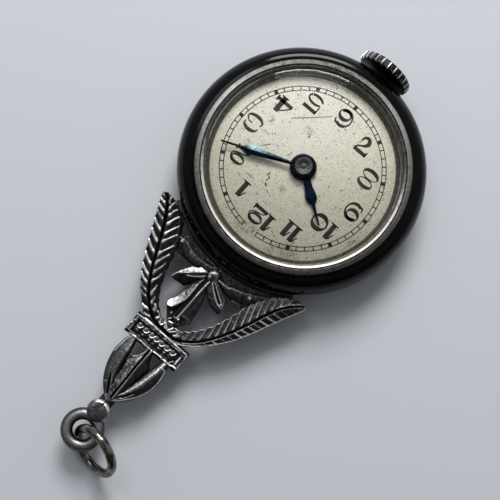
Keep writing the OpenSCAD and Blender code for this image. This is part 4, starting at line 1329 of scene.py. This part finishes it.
def blade(rows, z, edge_t, ridge_t):
    """A hand's blade: distance and half width in rows, with a ridge along its middle."""
    places, halves = np.transpose(rows)
    verts = []
    for y in np.linspace(places[0], places[-1], 70):
        w = np.interp(y, places, halves)
        rise = edge_t + (ridge_t - edge_t) * min(1, w / 0.3)
        verts.extend([(-w, y, z), (-w, y, z + edge_t * 0.6), (-w * 0.9, y, z + edge_t), (0, y, z + rise),
                      (w * 0.9, y, z + edge_t), (w, y, z + edge_t * 0.6), (w, y, z)])
    return tube(verts, 7)


def turned(part, degrees):
    """A part turned clockwise, as seen from above, round the hands' axis."""
    a = -math.radians(degrees)
    return moved(part, [(math.cos(a), -math.sin(a), 0), (math.sin(a), math.cos(a), 0), (0, 0, 1)])


def make_hands(steel, hour_metal, boss_metal, cap_metal):
    """Both hands, the dark boss and the turned cap."""
    minute_rows = [(0.8, 0.19), (1.6, 0.2), (2.2, 0.23), (3.2, 0.31), (4.3, 0.4), (5.2, 0.47), (5.73, 0.5),
                   (6.0, 0.47), (6.25, 0.4), (6.5, 0.28), (6.88, 0.15), (7.5, 0.125), (8.6, 0.115),
                   (9.1, 0.1), (9.2, 0.07)]
    part = turned(blade(minute_rows, MINUTE_Z, 0.04, 0.22), MINUTE_TURN)
    # The blade's points come in rows of 7, from its far edge over the ridge to the edge that faces the
    # window. The face towards the window is marked for a painted highlight.
    marks = {"wear": [0, 0, 0, 0.3, 1, 1, 1] * (len(part[0]) // 7)}
    minute = mesh_piece("minute_hand_blade", *part, steel, "minute", "blued_steel", smooth=False, marks=marks)
    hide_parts("minute_hand")
    high = MINUTE_Z + 0.24
    boss = rounded([(0.45, MINUTE_Z), (1.33, MINUTE_Z), (1.33, high - 0.12), (1.2, high), (0.45, high)],
                   0.04, 3)
    hub = mesh_piece("minute_hand_boss", *lathe(boss, 72), boss_metal, "minute", "blued_steel")
    sharpen(hub, 50)
    hour_rows = [(0.7, 0.4), (1.5, 0.4), (2.4, 0.45), (3.0, 0.58), (3.3, 0.61), (3.6, 0.57), (3.9, 0.4),
                 (4.15, 0.2), (4.9, 0.15), (6.3, 0.09), (6.5, 0.05)]
    # The hour hand's dark collar is 2.9 mm across, taking in the black round the boss, which is partly the
    # hub and partly its shadow: painted shade in part
    pipe_low, pipe_r, inner_r, collar_r, high = 3.0, 0.85, 0.5, 1.45, HOUR_Z + 0.2
    collar = rounded([(inner_r, pipe_low), (pipe_r, pipe_low), (pipe_r, HOUR_Z), (collar_r, HOUR_Z),
                      (collar_r, high - 0.04), (collar_r - 0.09, high), (inner_r, high)], 0.03, 2)
    verts, faces, _ = join_parts([turned(blade(hour_rows, HOUR_Z, 0.07, 0.13), HOUR_TURN), lathe(collar, 64)])
    hour = mesh_piece("hour_hand_blade", verts, faces, hour_metal, "hour", "blued_steel", smooth=False)
    sharpen(hour, 30)
    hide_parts("hour_hand")
    low, top = MINUTE_Z + 0.29, CAP_Z
    rings = [(0, 1.7), (0.4, 1.7), (0.4, low), (0.93, low), (0.97, low + 0.03), (0.97, low + 0.13),
             (0.95, low + 0.18), (0.92, top - 0.02), (0.88, top - 0.01), (0.82, top - 0.022),
             (0.4, top - 0.02), (0.36, top - 0.05), (0.26, top - 0.05), (0.2, top - 0.01), (0.1, top),
             (0, top)]
    cap = mesh_piece("hands_cap", *lathe_solid(rings, 96), cap_metal, "minute", "arbor_steel")
    sharpen(cap, 40)
    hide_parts("centre_arbor")


# Dial print


INK_LOW, INK_HIGH = DIAL_Z + 0.001, DIAL_Z + 0.012
# How far the ink spreads past each drawn edge
SPREAD = 0.042


def strip(left, right, closed=False):
    """A thin solid of ink between two lines of as many points."""
    n = len(left)
    rows = (left, INK_LOW), (right, INK_LOW), (right, INK_HIGH), (left, INK_HIGH)
    faces = skin(4, n, wrap=closed)
    if not closed:
        faces.extend(tuple(k * n + end for k in range(4)) for end in (0, n - 1))
    return [(x, y, z) for line, z in rows for x, y in line], faces


def bar(x0, y0, x1, y1):
    """An upright box of ink between two corners."""
    x0, y0, x1, y1 = x0 - SPREAD, y0 - SPREAD, x1 + SPREAD, y1 + SPREAD
    return strip([(x0, y0), (x0, y1)], [(x1, y0), (x1, y1)])


def stroke(rows, count=28, spread=SPREAD):
    """A pen stroke through rows of x, y and width."""
    p = smooth_line(rows, count)
    way = np.gradient(p[:, :2], axis=0)
    way /= np.linalg.norm(way, axis=1)[:, None]
    side = np.stack([-way[:, 1], way[:, 0]], 1) * (p[:, 2:] / 2 + spread)
    return strip(p[:, :2] + side, p[:, :2] - side)


def oval(outer, inner, start=0, end=360, count=44):
    """Ink between two ovals, each given as middle x and y and half width and height."""
    closed = end - start >= 360
    angles = np.radians(np.linspace(start, end, count + (0 if closed else 1), endpoint=not closed))
    lines = [[(cx + (rx + grow) * math.cos(a), cy + (ry + grow) * math.sin(a)) for a in angles]
             for (cx, cy, rx, ry), grow in ((outer, SPREAD), (inner, -SPREAD))]
    return strip(*lines, closed=closed)


def one(s=0.0):
    """A 1 with a thick stem, a thin flag and a thin foot, shifted along x."""
    return [bar(s - 0.21, -0.84, s + 0.23, 0.93), bar(s - 0.44, -0.88, s + 0.46, -0.81),
            stroke([(s - 0.18, 0.88, 0.1), (s - 0.3, 0.7, 0.07), (s - 0.42, 0.32, 0.06),
                    (s - 0.56, 0.14, 0.04)])]


def two(s=0.0):
    """A 2 with a closed oval head, a thin sweep and a heavy foot."""
    return [oval((s - 0.1, 0.44, 0.76, 0.56), (s - 0.12, 0.43, 0.69, 0.3)),
            stroke([(s + 0.2, 0.93, 0.14), (s + 0.62, 0.72, 0.06), (s + 0.8, 0.3, 0.06),
                    (s + 0.62, -0.02, 0.06), (s + 0.1, -0.22, 0.06), (s - 0.45, -0.34, 0.05),
                    (s - 0.7, -0.56, 0.05)]),
            bar(s - 0.8, -0.88, s + 0.8, -0.58), bar(s + 0.72, -0.95, s + 0.8, -0.36)]


def three():
    """A 3 of two open ovals that meet in a thin waist."""
    return [oval((0, 0.44, 0.84, 0.58), (0, 0.4, 0.78, 0.3), -18, 198),
            stroke([(0.06, 0.05, 0.05), (0.4, 0.09, 0.05), (0.72, 0.0, 0.05)], 8),
            oval((0.02, -0.4, 0.95, 0.57), (0.02, -0.35, 0.88, 0.32), -212, 42)]


def four():
    """A 4 with a thick stem and bar, and thin serifs."""
    return [bar(0.0, -0.84, 0.48, 0.93), bar(-1.0, -0.56, 0.86, -0.25), bar(0.86, -0.68, 0.98, -0.1),
            bar(-0.14, -0.9, 0.66, -0.82),
            stroke([(0.02, 0.7, 0.06), (-0.46, 0.3, 0.06), (-0.97, -0.28, 0.07)], 8)]


def five():
    """A 5 with a heavy flag, a thin stem and an open bowl."""
    return [bar(-0.84, 0.66, 0.8, 0.98), bar(-0.86, 0.06, -0.8, 0.98),
            oval((0.02, -0.35, 0.9, 0.57), (0.0, -0.33, 0.82, 0.36), -165, 152)]


def six():
    """A 6 of a wide open oval, the closed bowl in it and a thick end."""
    return [oval((0.06, -0.03, 0.87, 1.03), (0.07, -0.03, 0.81, 0.76), 60, 270, 40),
            oval((0.06, -0.03, 0.87, 1.03), (0.07, -0.03, 0.8, 0.74), -90, -40, 12),
            oval((0.24, -0.36, 0.7, 0.68), (0.24, -0.42, 0.63, 0.38)),
            stroke([(0.48, 0.86, 0.2), (0.72, 0.72, 0.1), (0.84, 0.4, 0.04)], 10)]


def nine():
    """The 6 turned half round."""
    return [moved(part, [(-1, 0, 0), (0, -1, 0), (0, 0, 1)]) for part in six()]


def seven():
    """A 7 with a heavy top, a thin serif and a stem that swells and curls."""
    return [bar(-0.76, 0.66, 0.76, 0.99), bar(-0.76, 0.44, -0.68, 0.99),
            stroke([(0.72, 0.8, 0.08), (0.66, 0.52, 0.12), (0.38, 0.28, 0.1), (-0.02, 0.02, 0.2),
                    (-0.26, -0.36, 0.36), (-0.12, -0.74, 0.34), (0.2, -0.88, 0.26), (0.5, -0.7, 0.18),
                    (0.6, -0.4, 0.1), (0.56, -0.2, 0.04)], 44)]


def eight():
    """An 8 of two ovals."""
    return [oval((0.0, 0.575, 0.87, 0.53), (0.0, 0.44, 0.8, 0.33)),
            oval((0.02, -0.53, 0.95, 0.56), (0.02, -0.385, 0.88, 0.36))]


def zero(s=0.0):
    """A 0, shifted along x."""
    return [oval((s, 0.0, 0.9, 0.96), (s, 0.0, 0.82, 0.55))]


# Each hour's figure and its middle on the dial
FIGURES = [
    (lambda: one(-0.93) + two(0.46), -0.08, 7.0),
    (one, 3.37, 5.92),
    (two, 6.0, 3.43),
    (three, 7.2, -0.2),
    (four, 6.1, -3.7),
    (five, 3.75, -6.2),
    (six, 0.1, -7.0),
    (seven, -3.4, -6.2),
    (eight, -6.0, -3.7),
    (nine, -7.0, 0.0),
    (lambda: one(-0.92) + zero(0.56), -5.7, 3.25),
    (lambda: one(-0.44) + one(0.52), -3.5, 6.0),
]
# Radii of the minute track's two lines
TRACK_IN_R, TRACK_OUT_R = 8.44, 8.88
# Width of its lines, and half widths of its marks in degrees
TRACK_LINE = 0.095
HOUR_HALF, MINUTE_HALF = 1.35, 0.38
# Where the track is worn away, in degrees clockwise from 12
WORN_FROM, WORN_TO = -5.2, 4.4


def on_dial(angle, r):
    """A point of the dial at an angle clockwise from 12."""
    a = math.radians(angle)
    return (r * math.sin(a), r * math.cos(a))


def kept(angle):
    """Whether the minute track isn't worn away here."""
    return not WORN_FROM < (angle + 180) % 360 - 180 < WORN_TO


def arc(angles, low, high):
    """A strip of ink between two radii."""
    return strip([on_dial(a, low) for a in angles], [on_dial(a, high) for a in angles])


def make_print(material):
    """Figures and the minute track, printed on the dial."""
    parts = [moved(part, shift=(x, y, 0)) for draw, x, y in FIGURES for part in draw()]
    around = [angle for angle in range(360) if kept(angle)]
    for r in (TRACK_IN_R, TRACK_OUT_R):
        parts.append(arc(around, r, r + TRACK_LINE))
    for angle in filter(kept, range(0, 360, 6)):
        half = HOUR_HALF if angle % 30 == 0 else MINUTE_HALF
        parts.append(arc(np.linspace(angle - half, angle + half, 5), TRACK_IN_R, TRACK_OUT_R + TRACK_LINE))
    verts, faces, _ = join_parts(parts)
    part = turned((verts, faces), DIAL_TURN)
    mesh_piece("dial_print", *part, material, "case", "dial", smooth=False)


# The dial's dirt: name, lines and colour
DIRT = [("dial_scratches", SCRATCHES, (0.26, 0.22, 0.14)), ("dial_crusts", CRUSTS, (0.055, 0.04, 0.025))]


def make_dirt():
    """Fine scratches and small crusts of dirt on the dial."""
    for name, lines, ink in DIRT:
        verts, faces, _ = join_parts([stroke(rows, 10, 0.02) for rows in lines])
        material = Shader(name, ink, roughness=0.7).material
        mesh_piece(name, verts, faces, material, "case", "dial", smooth=False)


# The camera, the light and the floor

# Image size, focal length and distance in pixels and millimetres, and the view's tilts in degrees
IMAGE_SIDE = 500
FOCAL_PX = 1050.02
DISTANCE = 115.578
TILT_DOWN, TILT_SIDE, ROLL = 6.14, 1.89, 130.4
# Place of the dial's centre on the view's own floor axes
VIEW_SHIFT = (5.517, -8.292)
# Point of the watch that the lamps look at, in metres
AIM = Vector((0, 0.005, 0))


def make_camera():
    """The photograph's view: right, down and towards-the-camera directions, worked out from the tilts."""
    roll, tx, ty = (math.radians(a) for a in (ROLL, TILT_DOWN, TILT_SIDE))
    lay = np.array([[-math.sin(roll), math.cos(roll), 0], [math.cos(roll), math.sin(roll), 0], [0, 0, 1]])
    tip = np.array([[1, 0, 0], [0, math.cos(tx), -math.sin(tx)], [0, math.sin(tx), math.cos(tx)]])
    lean = np.array([[math.cos(ty), 0, math.sin(ty)], [0, 1, 0], [-math.sin(ty), 0, math.cos(ty)]])
    view = lean @ tip @ lay
    place = np.linalg.solve(view, np.array([0, 0, DISTANCE]) - lean @ tip @ np.array([*VIEW_SHIFT, 0]))
    data = bpy.data.cameras.new("photo_camera")
    data.sensor_width = 36
    data.lens = data.sensor_width * FOCAL_PX / IMAGE_SIDE
    data.clip_start, data.clip_end = 0.001, 20
    camera = bpy.data.objects.new("photo_camera", data)
    bpy.context.scene.collection.objects.link(camera)
    axes = np.array([view[0], -view[1], view[2]]).T
    camera.matrix_world = Matrix.Translation(Vector(place * MM)) @ Matrix(axes.tolist()).to_4x4()
    bpy.context.scene.camera = camera


def sky_way(clock, height):
    """Direction of a place in the sky, by its clock angle from 12 and its height in degrees."""
    c, e = math.radians(clock), math.radians(height)
    return math.sin(c) * math.cos(e), math.cos(c) * math.cos(e), math.sin(e)


def soft_lamp(name, clock, height, distance, size, power, color):
    """An oval lamp that looks at the watch, with its distance and size in metres."""
    data = bpy.data.lights.new(name, "AREA")
    data.shape = "ELLIPSE"
    data.size, data.size_y = size
    data.energy = power
    data.color = color
    light = bpy.data.objects.new(name, data)
    bpy.context.scene.collection.objects.link(light)
    way = Vector(sky_way(clock, height))
    light.location = way * distance + AIM
    light.rotation_mode = "QUATERNION"
    light.rotation_quaternion = way.to_track_quat("Z", "Y")


def make_light():
    """Soft window light from the photograph's upper side, and a dim room."""
    scene = bpy.context.scene
    scene.view_settings.view_transform = "Standard"
    scene.view_settings.look = "None"
    soft_lamp("window", WINDOW_CLOCK, 42, 0.34, (0.165, 0.145), 0.98, (1.0, 0.99, 0.975))
    soft_lamp("window_top", 112, 58, 0.4, (0.16, 0.15), 0.2, (0.96, 0.98, 1.0))

    # The room: brighter towards the window's side, dim behind and right overhead
    world = bpy.data.worlds.new("room")
    scene.world = world
    world.use_nodes = True
    tree = world.node_tree
    sky = add_node(tree, "TexCoord").outputs["Generated"]

    def toward(clock, height, low, high, a, b):
        """Strength from a to b as a direction turns from low to high cosine of this one."""
        dot = add_node(tree, "VectorMath", sky, sky_way(clock, height))
        dot.operation = "DOT_PRODUCT"
        ramp = add_node(tree, "MapRange", dot.outputs["Value"], low, high, a, b)
        ramp.interpolation_type = "SMOOTHSTEP"
        return ramp.outputs["Result"]

    window_side = toward(WINDOW_CLOCK, 20, -0.75, 0.75, 0.045, 0.55)
    overhead = toward(0, 90, 0.9, 0.99, 0.85, 0.12)
    product = add_node(tree, "Math", window_side, overhead)
    product.operation = "MULTIPLY"
    shade = tree.nodes["Background"]
    put(tree, shade.inputs["Strength"], product.outputs["Value"])
    put(tree, shade.inputs["Color"], (0.93, 0.96, 1.0))


def make_floor():
    """Plain pale floor under the watch."""
    mesh = bpy.data.meshes.new("floor")
    half = 1.5
    corners = [(-half, -half, 0), (half, -half, 0), (half, half, 0), (-half, half, 0)]
    mesh.from_pydata(corners, [], [(0, 1, 2, 3)])
    mesh.materials.append(Shader("floor", (0.6, 0.62, 0.66), roughness=0.6, specular=0.3).material)
    floor = bpy.data.objects.new("floor", mesh)
    bpy.context.scene.collection.objects.link(floor)


def paint(node, material):
    """Gives a CAD node its finish."""
    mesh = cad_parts[node].data
    mesh.materials.clear()
    mesh.materials.append(material)


def main():
    """Sets the stage, paints the CAD nodes that stay, and makes the finer pieces."""
    make_camera()
    make_light()
    make_floor()
    black = enamel()
    for node in ("case_back", "case_front"):
        paint(node, black)
    paint("dial", dial_paint())
    paint("movement", brass())
    paint("crystal", clear_crystal())
    cap = cap_steel()
    paint("setting_lever", cap)
    parts = [plate_part(), ball_part(), loop_part(), case_ring_part(), solder_part()]
    verts, faces, marks = join_parts(parts)
    ornament = mesh_piece("ornament_cast", verts, faces, cast_silver(), "case", "cast_silver", marks=marks)
    sharpen(ornament, 42)
    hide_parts("ornament")
    make_bezel(worn_silver())
    make_dial_ring(ring_silver())
    make_crown(crown_metal())
    make_jump_ring(wire_silver())
    boss = dark_steel("boss_steel", (0.006, 0.007, 0.008), (0.015, 0.017, 0.02), (0.085, 0.088, 0.085))
    hour = dark_steel("hour_steel", (0.007, 0.012, 0.024), (0.012, 0.024, 0.05), (0.05, 0.075, 0.115))
    make_hands(blued_steel(), hour, boss, cap)
    make_print(print_ink())
    make_dirt()


main()
